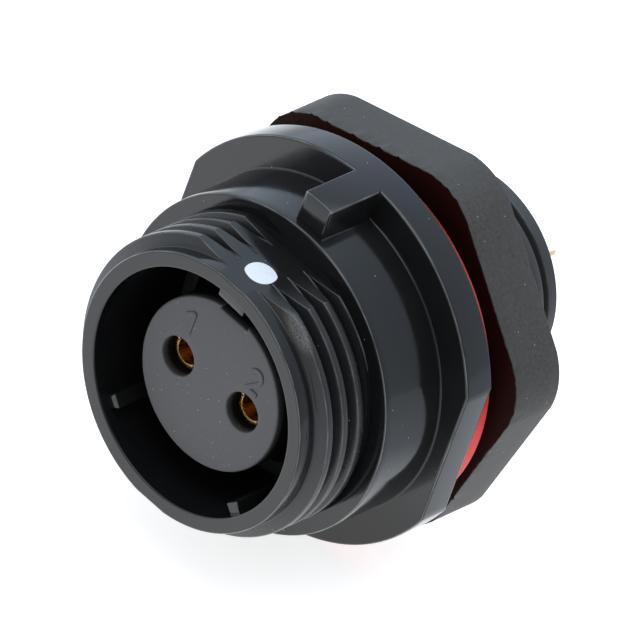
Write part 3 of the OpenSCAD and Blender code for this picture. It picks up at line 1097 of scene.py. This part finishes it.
    def lug_rings(self, phi: Array, turned: Array) -> tuple[list[Array], list[Array]]:
        """The shoulder behind its front edge, with the lug from its rounded front back to the flange.

        Args:
            phi: Column angles.
            turned: The columns' own angles, which follow the lug's outline.

        Returns:
            Rings, and the painted highlight on each.
        """
        inside, _, _, lug_highlight = self.lug.section(phi)
        on_lug = np.zeros_like(phi)
        on_lug[inside] = lug_highlight
        crown = inside & (np.abs(np.angle(np.exp(1j * phi))) < self.lug.EDGE_END * self.lug.window)
        e = self.lug.edge
        bend = zip(self.bend[::-1], self.bend_highlight)
        tops = [(e * back, e * inset, highlit) for (back, inset), highlit in bend]
        tops += [(self.flange_y - self.fillet - self.lug_y, 0.0, 0.0)]
        rings, wear = [polar(self.shoulder_r, turned, self.lug_y)], [np.zeros_like(phi)]
        for back, inset, highlit in tops:
            ring = polar(self.shoulder_r, turned, self.lug_y + back)
            _, angle, radius, _ = self.lug.section(phi, inset)
            ring[inside] = polar(radius, angle, self.lug_y + back)
            rings.append(ring)
            wear.append(np.maximum(on_lug, np.where(crown, highlit, 0.0)))
        return rings, wear

    def collar(self) -> tuple[Array, Array]:
        """Shoulder with its lug, the flange's front face, its rim with two wrench flats, and its back edge.

        Returns:
            Points and wear, each with rows and columns.
        """
        corner = math.acos(self.wrench_r / self.flange_r)
        near = corner + math.radians(self.flat_support_deg)
        flats = [s * math.pi / 2 + t * c for s in (-1, 1) for t in (-1, 1) for c in (corner, near)]
        marks = np.concatenate([self.lug.columns(), flats])
        phi = fill_turn(marks, math.radians(self.collar_step_deg))
        inside, angle, lug_r, _ = self.lug.section(phi)
        turned, lug_reach = phi.copy(), np.zeros_like(phi)
        turned[inside], lug_reach[inside] = angle, lug_r
        front = front_edge(self.shoulder_r, self.shoulder_y, self.shoulder_edge)
        lug_rings, lug_highlight = self.lug_rings(phi, turned)
        rings = [polar(r, turned, y) for r, y in front] + lug_rings
        wear = [np.full_like(phi, highlit) for highlit in (0.0, *EDGE_HIGHLIGHT)] + lug_highlight
        edge, back_edge = self.flange_edge, self.flange_back_edge
        face = round_corner((self.shoulder_r, self.flange_y), self.fillet, 180, 90, 6)[1:]
        face += [(self.shoulder_r + self.fillet + SUPPORT, self.flange_y)]
        rim_start = self.flange_y + edge + SUPPORT
        rim = [(self.flange_r, rim_start), *round_corner((self.flange_r, 0.0), back_edge, 0, 90, 6)]
        rim += [(self.flange_r - back_edge - SUPPORT, 0.0)]
        stations = face + front_edge(self.flange_r, self.flange_y, edge) + rim
        highlighted = [0.0] * (len(face) + 1) + [*EDGE_HIGHLIGHT] + [0.0] * len(rim)
        for (r, y), highlit in zip(stations, highlighted):
            flat = self.wrench_r - (self.flange_r - r)
            reach = flat / np.maximum(np.abs(np.sin(turned)), LEAST_COSINE) if r > self.wrench_r else np.inf
            raised = np.maximum(r, lug_reach) if y < rim_start else np.full_like(phi, r)
            rings.append(polar(np.minimum(raised, reach), turned, y))
            wear.append(np.where(lug_reach > r + LEVEL_STEP, 0.0, highlit))
        return np.array(rings), np.array(wear)

    def shank(self) -> tuple[Array, Array, Array]:
        """The shank's thread behind the flange, with a chamfer at its end.

        Returns:
            Points, wear and radius, each with rows and columns.
        """
        thread, phi = self.shank_thread, self.shank_thread.columns()
        grid, wear, radius = thread.surface(phi, 0.0, self.shank_end - self.shank_chamfer)
        ridge, _ = thread.ridge(phi, np.full_like(phi, self.shank_end))
        end_r = np.minimum(np.minimum(ridge, thread.reach(phi)), thread.crest_r - self.shank_chamfer)
        rings = [polar(r, phi, self.shank_end) for r in (end_r, end_r - SUPPORT)]
        points = np.concatenate([grid, np.array(rings)])
        still = np.zeros((2, len(phi)))
        return points, np.concatenate([wear, still]), np.concatenate([radius, [end_r, end_r - SUPPORT]])

    def build(self) -> bpy.types.Object:
        """Makes the shell as one closed surface.

        Returns:
            The shell's object.
        """
        bore = self.bore()
        barrel, barrel_highlight, barrel_r = self.barrel()
        collar, collar_highlight = self.collar()
        shank, shank_highlight, shank_r = self.shank()
        patches = [
            Patch.from_grid(bore),
            Patch.between(bore[-1], barrel[0]),
            Patch.from_grid(barrel, barrel_highlight, barrel_r),
            Patch.between(barrel[-1], collar[0]),
            Patch.from_grid(collar, collar_highlight),
            Patch.between(collar[-1], shank[0]),
            Patch.from_grid(shank, shank_highlight, shank_r),
            Patch.between(shank[-1], bore[0]),
        ]
        return Piece("shell", Body.RECEPTACLE, Slot.SHELL, "receptacle_shell").make(patches, SHELL_FINISH)


# Insert and contacts


@dataclass
class ContactInsert:
    """The insulating body with two contact holes, a keyway and moulded contact numbers."""

    face_y: float = -10.15
    boss_r: float = 5.15
    keyway_half: float = 1.05
    keyway_z: float = 4.85
    hole_x: float = 2.6
    hole_r: float = 1.175
    hole_edge: float = 0.1
    # How far the hole's own rows lie in front of its pocket and behind the face
    hole_rows: tuple[float, float] = (0.5, 0.6)
    flange_r: float = 7.25
    flange_front: float = -3.96
    flange_back: float = -2.96
    stem_r: float = 4.75
    stem_end: float = 11.1
    stem_bore_r: float = 4.25
    stem_edge: float = 0.1
    pocket_r: float = 1.5
    pocket_y: float = 3.0
    floor_y: float = 4.0
    edge: float = 0.12
    arc_columns: int = 97
    chord_columns: int = 9
    middle_columns: int = 40
    face_rows: int = 7
    one_at: Station = (-2.48, 1.8)
    two_at: Station = (2.71, 1.65)
    number_height: float = 1.46
    stroke_half: float = 0.15
    stroke_rise: float = 0.07
    stroke_rings: int = 40
    stroke_columns: int = 13
    stroke_power: float = 0.5

    def half_outline(self, radius: float, keyed: bool) -> Array:
        """Half of the boss's outline in x and z, from the top through +X to the bottom.

        Args:
            radius: Radius of the outline.
            keyed: Whether the keyway's chord cuts its top.

        Returns:
            Points of shape (columns, 2).
        """
        drawn_in = self.boss_r - radius
        start = math.asin((self.keyway_half + drawn_in) / radius)
        arc = np.linspace(start, math.pi, self.arc_columns)
        if keyed:
            chord_x = np.linspace(0.0, self.keyway_half + drawn_in, self.chord_columns)
            top = np.stack([chord_x, np.full_like(chord_x, self.keyway_z - drawn_in)], axis=-1)
        else:
            over = np.linspace(0.0, start, self.chord_columns + 1)[:-1]
            top = radius * np.stack([np.sin(over), np.cos(over)], axis=-1)
        return np.concatenate([top, radius * np.stack([np.sin(arc), np.cos(arc)], axis=-1)])

    def ring(self, radius: float, y: float, keyed: bool = False) -> Array:
        """A closed ring: half an outline and its mirror image.

        Args:
            radius: Radius of the outline.
            y: Station of the ring.
            keyed: Whether the keyway's chord cuts its top.

        Returns:
            Points of shape (columns, 3).
        """
        half = self.half_outline(radius, keyed)
        whole = np.concatenate([half, half[-2::-1] * np.array([-1.0, 1.0])])
        return np.insert(whole, 1, y, axis=1)

    def pierced(self, half: Array, rows: Sequence[Station], facing: int) -> list[Patch]:
        """A flat face with two round holes, each in its own half.

        Every half is a fan of straight lines from the hole's rim to the half's border, which is the outline
        and the middle line.

        Args:
            half: Half of the border in x and z.
            rows: Radius and station of the hole's rings, up to the one where the flat face starts.
            facing: 1 for a face that looks towards -Y and -1 for one that looks towards +Y.

        Returns:
            Two sheets.
        """
        middle = np.linspace(half[-1, 1], half[0, 1], self.middle_columns + 1)[1:]
        border = np.concatenate([half, np.stack([np.zeros_like(middle), middle], axis=-1)])
        centre = np.array([self.hole_x, 0.0])
        way = (border - centre) / np.linalg.norm(border - centre, axis=1, keepdims=True)
        radius, station = np.array(rows).T
        rings = centre + radius[:, None, None] * way
        share = np.linspace(0.0, 1.0, self.face_rows)[1:, None, None]
        xz = np.concatenate([rings, rings[-1:] * (1 - share) + border * share])
        level = np.append(station, np.full(self.face_rows - 1, station[-1]))
        y = np.broadcast_to(level[:, None], xz.shape[:2])
        grid = np.stack([xz[..., 0], y, xz[..., 1]], axis=-1)
        mirrored = grid[:, ::-1] * np.array([-1.0, 1.0, 1.0])
        return [Patch.from_grid(half_face[:, ::facing]) for half_face in (grid, mirrored)]

    def sleeve(self, front: Patch, back: Patch, centre_x: float) -> Patch:
        """Joins the inner rings of a hole's two faces about the hole's own axis.

        Args:
            front: Sheet of the front face, which starts with its ring in the hole.
            back: Sheet of the face behind, which starts with its ring the other way round.
            centre_x: Place of the hole.

        Returns:
            The sheet between the rings.
        """
        count = self.chord_columns + self.arc_columns + self.middle_columns
        centre = np.array([centre_x, 0.0, 0.0])
        joined = Patch.between(back.points[:count][::-1] - centre, front.points[:count] - centre)
        return Patch(joined.points + centre, joined.quads, joined.wear)

    def patches(self) -> list[Patch]:
        """All sheets of the insert: pierced face, boss, flange, stem, floor behind and the holes between.

        Returns:
            The sheets, which close the insert.
        """
        before, behind = self.hole_rows
        hole = [(self.hole_r, self.pocket_y - before), (self.hole_r, self.face_y + behind)]
        hole += round_corner((self.hole_r, self.face_y), self.hole_edge, 180, 270)
        front = self.pierced(self.half_outline(self.boss_r - self.edge, True), hole, 1)
        keyed = round_corner((self.boss_r, self.face_y), self.edge, 270, 360)
        keyed += [(self.boss_r, self.flange_front)]
        plain = [(self.flange_r, self.flange_front), (self.flange_r, self.flange_back)]
        plain += [(self.stem_r, self.flange_back)]
        plain += round_corner((self.stem_r, self.stem_end), self.stem_edge, 0, 90, 3)
        plain += [(self.stem_bore_r, self.stem_end), (self.stem_bore_r, self.floor_y)]
        rings = [self.ring(r, y, True) for r, y in keyed] + [self.ring(r, y) for r, y in plain]
        pocket = [(self.hole_r, self.pocket_y), (self.pocket_r, self.pocket_y), (self.pocket_r, self.floor_y)]
        back = self.pierced(self.half_outline(self.stem_bore_r, False), pocket, -1)
        holes = zip(front, back, (self.hole_x, -self.hole_x))
        return [*front, Patch.from_grid(np.array(rings)), *back, *(self.sleeve(*hole) for hole in holes)]

    def stroke(self, path: Sequence[Station]) -> Patch:
        """A raised line on the face: a bar with a flattened top carried along a path, closed at both ends.

        The path is drawn through its points with evenly spaced samples. At each sample a ring of points
        stands across the path's direction, with both coordinates of a circle raised to a power below one,
        and the rings at the ends shrink to a point.

        Args:
            path: Points in x and z.

        Returns:
            The bar's sheet.
        """
        points = np.array(path, dtype=float)
        length = np.concatenate([[0.0], np.cumsum(np.linalg.norm(np.diff(points, axis=0), axis=1))])
        along = np.linspace(0.0, length[-1], self.stroke_rings)
        line = np.stack([np.interp(along, length, points[:, k]) for k in (0, 1)], axis=-1)
        tangent = np.gradient(line, axis=0)
        tangent /= np.linalg.norm(tangent, axis=1, keepdims=True)
        line, tangent = (np.concatenate([a[:1], a, a[-1:]]) for a in (line, tangent))
        side = np.stack([tangent[:, 1], -tangent[:, 0]], axis=-1)
        turn = np.linspace(0.0, FULL_TURN, self.stroke_columns)
        size = np.concatenate([[0.0], np.ones(self.stroke_rings), [0.0]])[:, None]
        circle = np.stack([np.cos(turn), np.sin(turn)]).round(9)
        wide, rise = np.sign(circle) * np.abs(circle) ** self.stroke_power
        x = line[:, :1] + self.stroke_half * size * wide * side[:, :1]
        z = line[:, 1:] + self.stroke_half * size * wide * side[:, 1:]
        y = self.face_y - self.stroke_rise * size * rise
        return Patch.from_grid(np.stack([x, y, z], axis=-1)[:, ::-1])

    def numbers(self) -> list[Patch]:
        """The numbers 1 and 2 above the contact holes, as raised lines.

        Returns:
            One sheet for each number.
        """
        h = self.number_height
        one = [(-0.5, h - 0.4), (0.0, h), (0.0, 0.0)]
        bow = np.radians(np.linspace(160, -40, 12))
        two = [(0.4 * math.cos(a), 0.7 * h + 0.3 * h * math.sin(a)) for a in bow]
        two += [(-0.42, 0.0), (0.42, 0.0)]
        placed = ((one, self.one_at), (two, self.two_at))
        return [self.stroke([(x + at[0], z + at[1]) for x, z in path]) for path, at in placed]

    def build(self) -> list[bpy.types.Object]:
        """Makes the insert and its numbers.

        Returns:
            Both objects.
        """
        body = Piece("insert", Body.RECEPTACLE, Slot.INSERT, "contact_insert")
        numbers = Piece("contact_numbers", Body.RECEPTACLE, Slot.INSERT)
        return [body.make(self.patches(), INSERT_FINISH), numbers.make(self.numbers(), NUMBER_FINISH)]


@dataclass
class IndexDot:
    """White paint in the dimple on the top flat: a shallow dome with an outline drawn to two points."""

    centre_x: float = 0.2
    centre_y: float = -9.5
    level: float = 8.185
    half_length: float = 0.95
    half_width: float = 0.92
    pointed: float = 0.64
    point_turn: float = math.radians(41.5)
    dome: float = 0.035
    depth: float = 0.12
    columns: int = 73

    def build(self) -> bpy.types.Object:
        """Makes the dome from rings: height dome (1 - t^2), size t times the outline, closed below.

        The outline has the half length times cos along it, and across it the half width times |sin| to the
        power of twice the value pointed, for which one half would make an ellipse.

        Returns:
            The dot's object.
        """
        turn = np.linspace(0.0, FULL_TURN, self.columns)
        along = self.half_length * np.cos(turn)
        across = self.half_width * np.sign(np.sin(turn)) * np.abs(np.sin(turn)) ** (2.0 * self.pointed)
        share = np.array([0.0, 0.7, 1.0, 1.0, 0.9, 0.6, 0.3, 0.0])
        height = np.array([-self.depth, -self.depth, -self.depth, 0.0, *(self.dome * (1 - share[4:] ** 2))])
        c, s = math.cos(self.point_turn), math.sin(self.point_turn)
        x = self.centre_x + share[:, None] * (c * along - s * across)
        y = self.centre_y + share[:, None] * (s * along + c * across)
        z = np.broadcast_to(self.level + height[:, None], x.shape)
        patch = Patch.from_grid(np.stack([x, y, z], axis=-1))
        return Piece("white_dot", Body.RECEPTACLE, Slot.PAINT, "index_dot").make([patch], PAINT_FINISH)


@dataclass
class GoldContacts:
    """The two turned contacts: their CAD shape with its edges broken."""

    nodes: tuple[str, ...] = ("socket_contact_1", "socket_contact_2")
    break_mm: float = 0.15
    break_rows: int = 2
    break_from_deg: float = 40.0
    crease_deg: float = 30.0
    merge_mm: float = 0.0005

    def build(self, nodes: dict[str, bpy.types.Object]) -> list[bpy.types.Object]:
        """Copies each contact's mesh, merges its triangles and bevels its edges.

        Args:
            nodes: The CAD nodes by name.

        Returns:
            The contacts' objects.
        """
        made = []
        for name in self.nodes:
            shape = bmesh.new()
            shape.from_mesh(nodes[name].data)
            bmesh.ops.remove_doubles(shape, verts=shape.verts, dist=self.merge_mm * MM)
            mesh = bpy.data.meshes.new(f"gold_{name}")
            shape.to_mesh(mesh)
            shape.free()
            piece = Piece(f"gold_{name}", Body.RECEPTACLE, Slot.CONTACT, name, self.crease_deg)
            obj = piece.dress(mesh, GOLD_FINISH)
            bevel = obj.modifiers.new("broken_edges", "BEVEL")
            bevel.width = self.break_mm * MM
            bevel.segments = self.break_rows
            bevel.limit_method = "ANGLE"
            bevel.angle_limit = math.radians(self.break_from_deg)
            made.append(obj)
        return made


# Gasket and nut


@dataclass
class PanelGasket:
    """The red rubber washer behind the flange."""

    outer_r: float = 10.93
    inner_r: float = 6.31
    start: float = 0.05
    end: float = 1.05
    edge: float = 0.14
    columns: int = 241

    def build(self) -> bpy.types.Object:
        """Turns a section with rounded edges about the axis.

        Returns:
            The gasket's object.
        """
        corners = (
            (self.outer_r, self.start, 270),
            (self.outer_r, self.end, 0),
            (self.inner_r, self.end, 90),
            (self.inner_r, self.start, 180),
        )
        section = [s for r, y, turn in corners for s in round_corner((r, y), self.edge, turn, turn + 90)]
        r, y = np.array(section + section[:1]).T[..., None]
        patch = Patch.from_grid(polar(r, np.linspace(0.0, FULL_TURN, self.columns), y))
        return Piece("red_gasket", Body.GASKET, Slot.GASKET, "panel_gasket").make([patch], GASKET_FINISH)


@dataclass
class PanelNut:
    """The hexagon nut with rounded corners, slightly ragged moulded edges and a thread cut into its hole."""

    corner_r: float = 4.31
    corner_deg: float = 25.0
    corner_reach: float = 7.86
    corner_columns: int = 25
    flat_columns: int = 60
    turn_deg: float = 16.0
    start: float = 1.8
    end: float = 5.45
    thread: HelixThread = HelixThread(
        6.31, 6.7, 1.0, 0.4, 0.2, math.inf, -2.0, corner=0.05, corner_rows=1, flank_rows=0
    )
    chamfer: float = 0.5
    edge: float = 0.08
    side_rows: tuple[float, ...] = (0.3, 0.5, 0.7)
    ragged: float = 0.06
    ragged_spread: int = 5
    ragged_rows: tuple[float, ...] = (1.0, 1.0, 0.8, 0.4, 0.15)
    burr: float = 0.08
    seed: int = 7

    def outline(self, drawn_in: float) -> Array:
        """A rounded hexagon in x and z, from the nut's first corner round to it again.

        Each corner is an arc about a point on its diagonal, and the flats are the straight lines between the
        arcs, which they meet at a faint crease.

        Args:
            drawn_in: How far the outline lies inside the nut's sides.

        Returns:
            Points of shape (columns, 2).
        """
        corner = np.radians(60.0 * np.arange(6))[:, None]
        arc = corner + np.radians(np.linspace(-self.corner_deg, self.corner_deg, self.corner_columns))
        centre = self.corner_reach * np.stack([np.cos(corner), np.sin(corner)], axis=-1)
        arcs = centre + (self.corner_r - drawn_in) * np.stack([np.cos(arc), np.sin(arc)], axis=-1)
        share = np.linspace(0.0, 1.0, self.flat_columns + 2)[1:-1, None]
        flats = arcs[:, -1:] * (1 - share) + np.roll(arcs[:, :1], -1, axis=0) * share
        sides = np.concatenate([arcs, flats], axis=1).reshape(-1, 2)
        c, s = math.cos(math.radians(self.turn_deg)), math.sin(math.radians(self.turn_deg))
        turned = sides @ np.array([[c, s], [-s, c]])
        return np.concatenate([turned, turned[:1]])[::-1]

    def ragged_edge(self, count: int) -> Array:
        """How far the front edge stands out: smoothed random waves, with burrs where they are high.

        Args:
            count: Number of columns, of which the last one repeats the first.

        Returns:
            One distance for each column.
        """
        waves = np.random.default_rng(self.seed).normal(size=count - 1)
        window = np.hanning(self.ragged_spread)
        around = np.pad(waves, self.ragged_spread // 2, mode="wrap")
        smooth = np.convolve(around, window / window.sum(), mode="valid")
        edge = self.ragged * smooth + self.burr * np.clip(smooth, 0.0, 1.0) ** 3
        return np.append(edge, edge[0])

    def hole_ring(self, phi: Array, y: float) -> Array:
        """The ring of the threaded hole at one station."""
        return polar(self.thread.ridge(phi, np.full_like(phi, y))[0], phi, y)

    def build(self) -> bpy.types.Object:
        """Makes the nut from rings: chamfer, face, rounded edge, side, the same behind, and the thread.

        Returns:
            The nut's object.
        """
        rim = round_corner((0.0, self.start), self.edge, 270, 360)
        rim += [(0.0, self.start + share * (self.end - self.start)) for share in self.side_rows]
        rim += round_corner((0.0, self.end), self.edge, 0, 90)
        full = self.outline(0.0)
        way = full / np.linalg.norm(full, axis=1, keepdims=True)
        ragged = self.ragged_edge(len(full))[:, None] * way
        fade = np.pad(self.ragged_rows, (0, len(rim) - len(self.ragged_rows)))
        sides = [np.insert(self.outline(-r) + f * ragged, 1, y, axis=1) for (r, y), f in zip(rim, fade)]
        phi = np.unwrap(np.arctan2(way[:, 0], way[:, 1]))
        first, last = self.start + self.chamfer, self.end - self.chamfer
        mouth_r = self.thread.crest_r + self.chamfer
        front = [self.hole_ring(phi, first), polar(mouth_r, phi, self.start)]
        back = [polar(mouth_r, phi, self.end), self.hole_ring(phi, last)]
        thread = self.thread.surface(phi, first, last)[0]
        patches = [Patch.from_grid(np.array([*front, *sides, *back])), Patch.from_grid(thread[::-1])]
        return Piece("charcoal_nut", Body.NUT, Slot.NUT, "panel_nut").make(patches, NUT_FINISH)


@dataclass
class InnerParts:
    """The hidden CAD nodes that keep their shape and get a finish."""

    finishes: tuple[tuple[str, Finish], ...] = (
        ("insert_seal", SEAL_FINISH),
        ("retaining_ring", INNER_FINISH),
        ("rear_insulator", INSULATOR_FINISH),
    )

    def dress(self, nodes: dict[str, bpy.types.Object]) -> None:
        """Gives each node its finish in place of the plain one it came with.

        Args:
            nodes: The CAD nodes by name.
        """
        for name, finish in self.finishes:
            materials = nodes[name].data.materials
            materials.clear()
            materials.append(finish.material())
            LOG.info("%s keeps its CAD shape", name)


# Studio


@dataclass
class Studio:
    """Pale floor, soft light all round, and the camera of the photograph's view.

    Attributes:
        floor_z: Height of the floor.
        floor_half: Half of its width.
        floor_tone: Its grey.
        floor_glow: Light that it adds to what it faces.
        glow_reach: Distances from the object between which its glow fades out.
        camera_glow: Light that makes it white to the camera.
        mirror_glow: Light that it shows in reflections.
        dim_side: Stations along X between which that light falls off.
        dim_share: Share of it that is left beyond.
        lens: Focal length.
        sensor: Width of the sensor.
        clip: Nearest and farthest distance that the camera sees, in metres.
        frame_mm: Width of the picture at the object.
        right: Direction of the picture's right side.
        up: Direction of its upper side.
        middle: Point that the view was fitted about.
        offset: How far right of and above that point the picture's middle lies.
        bright_side: Direction of the brighter surroundings.
        levels: Darkest and brightest level of the surroundings.
        cap: Level that the bright cap overhead adds.
        cap_edge: Heights of a direction between which the cap starts and is full.
        cool_side: Direction of the cooler surroundings.
        warm: Tint on the far side of it.
        cool: Tint on that side.
    """

    floor_z: float = -12.02
    floor_half: float = 600.0
    floor_tone: float = 0.8
    floor_glow: float = 1.5
    glow_reach: Span = (12.0, 150.0)
    camera_glow: float = 0.75
    mirror_glow: float = 1.0
    dim_side: Span = (4.0, 26.0)
    dim_share: float = 0.05
    lens: float = 1500.0
    sensor: float = 36.0
    clip: Span = (0.01, 10.0)
    frame_mm: float = 35.645
    right: Point = (0.6836, 0.6745, 0.2790)
    up: Point = (-0.5989, 0.2999, 0.7425)
    middle: Point = (0.0, -2.1, 0.0)
    offset: tuple[float, float] = (0.692, 1.147)
    bright_side: Point = (-0.85, 0.45, -0.25)
    levels: Span = (0.32, 1.16)
    cap: float = 1.8
    cap_edge: Span = (0.82, 0.966)
    cool_side: Point = (-0.35, 0.85, 0.4)
    warm: Colour = (1.06, 1.0, 0.93)
    cool: Colour = (0.81, 0.975, 1.16)

    def camera(self) -> bpy.types.Object:
        """A long lens along the fitted view direction, aimed so that the picture's middle falls as fitted.

        Returns:
            The camera.
        """
        right = Vector(self.right).normalized()
        back = right.cross(Vector(self.up)).normalized()
        up = back.cross(right)
        aim = Vector(self.middle) + self.offset[0] * right + self.offset[1] * up
        distance = self.frame_mm * self.lens / self.sensor
        data = bpy.data.cameras.new("photo_view")
        data.lens, data.sensor_width = self.lens, self.sensor
        data.clip_start, data.clip_end = self.clip
        camera = bpy.data.objects.new("photo_view", data)
        turn = Matrix((right, up, back)).transposed().to_4x4()
        camera.matrix_world = Matrix.Translation((aim + distance * back) * MM) @ turn
        bpy.context.scene.collection.objects.link(camera)
        bpy.context.scene.camera = camera
        return camera

    def floor_material(self) -> bpy.types.Material:
        """Pale grey that glows for other surfaces, for reflections and for the camera, by the kind of ray.

        Returns:
            The material.
        """
        material = bpy.data.materials.new("floor_white")
        bench = NodeBench(material)
        path = bench.add("LightPath").outputs
        mirrored = bench.math("MAXIMUM", path["Is Glossy Ray"], path["Is Transmission Ray"])
        mirror_levels = (self.mirror_glow, self.dim_share * self.mirror_glow)
        shown = bench.ramp(bench.along("X"), self.dim_side, mirror_levels)
        glow = bench.math("MULTIPLY", path["Is Diffuse Ray"], self.floor_glow)
        glow = bench.math("ADD", glow, bench.math("MULTIPLY", mirrored, shown))
        fade = bench.ramp(bench.length(bench.place), self.glow_reach, (1.0, 0.0))
        white = bench.math("MULTIPLY", path["Is Camera Ray"], self.camera_glow)
        bench.finish(
            Base_Color=(self.floor_tone,) * 3,
            Roughness=0.9,
            Emission_Color=(1.0, 1.0, 1.0),
            Emission_Strength=bench.math("ADD", bench.math("MULTIPLY", glow, fade), white),
        )
        return material

    def floor(self) -> bpy.types.Object:
        """A pale floor that keeps the shadow and looks white to the camera and in reflections.

        Returns:
            The floor.
        """
        edge = np.linspace(-1.0, 1.0, 3) * self.floor_half
        x, y = np.meshgrid(edge, edge)
        points, _, faces = weld([Patch.from_grid(np.stack([x, y, np.full_like(x, self.floor_z)], axis=-1))])
        mesh = bpy.data.meshes.new("floor")
        mesh.from_pydata((points * MM).tolist(), [], faces)
        mesh.materials.append(self.floor_material())
        floor = bpy.data.objects.new("floor", mesh)
        bpy.context.scene.collection.objects.link(floor)
        return floor

    def world(self) -> None:
        """Pale surroundings at a plain level, brighter on one side and overhead, and cooler towards the back.

        Each of the three follows the dot product of the direction with that of its own side.
        """
        world = bpy.data.worlds.new("studio")
        bench = NodeBench(world, "Background", "Generated")
        ways = [Vector(way).normalized() for way in (self.bright_side, (0.0, 0.0, 1.0), self.cool_side)]
        dots = [{0: bench.place, 1: way} for way in ways]
        bright, above, back = (bench.node("VectorMath", "Value", d, operation="DOT_PRODUCT") for d in dots)
        level = bench.remap(bright, (-1.0, 1.0), self.levels)
        cap = bench.remap(above, self.cap_edge, (0.0, self.cap))
        tint = bench.mix(bench.remap(back, (-1.0, 1.0)), self.warm, self.cool)
        bench.finish(Color=tint, Strength=bench.math("ADD", level, cap))
        bpy.context.scene.world = world

    def build(self) -> None:
        """Sets up the view, the floor and the light."""
        self.camera()
        self.floor()
        self.world()
        bpy.context.scene.view_settings.view_transform = "Standard"


def main() -> None:
    """Loads the frame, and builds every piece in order."""
    logging.basicConfig(level=logging.INFO, format="%(name)s: %(message)s")
    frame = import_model()
    ReceptacleShell().build()
    ContactInsert().build()
    IndexDot().build()
    GoldContacts().build(frame["nodes"])
    PanelGasket().build()
    PanelNut().build()
    InnerParts().dress(frame["nodes"])
    Studio().build()
    bpy.context.view_layer.update()


if __name__ == "__main__":
    main()
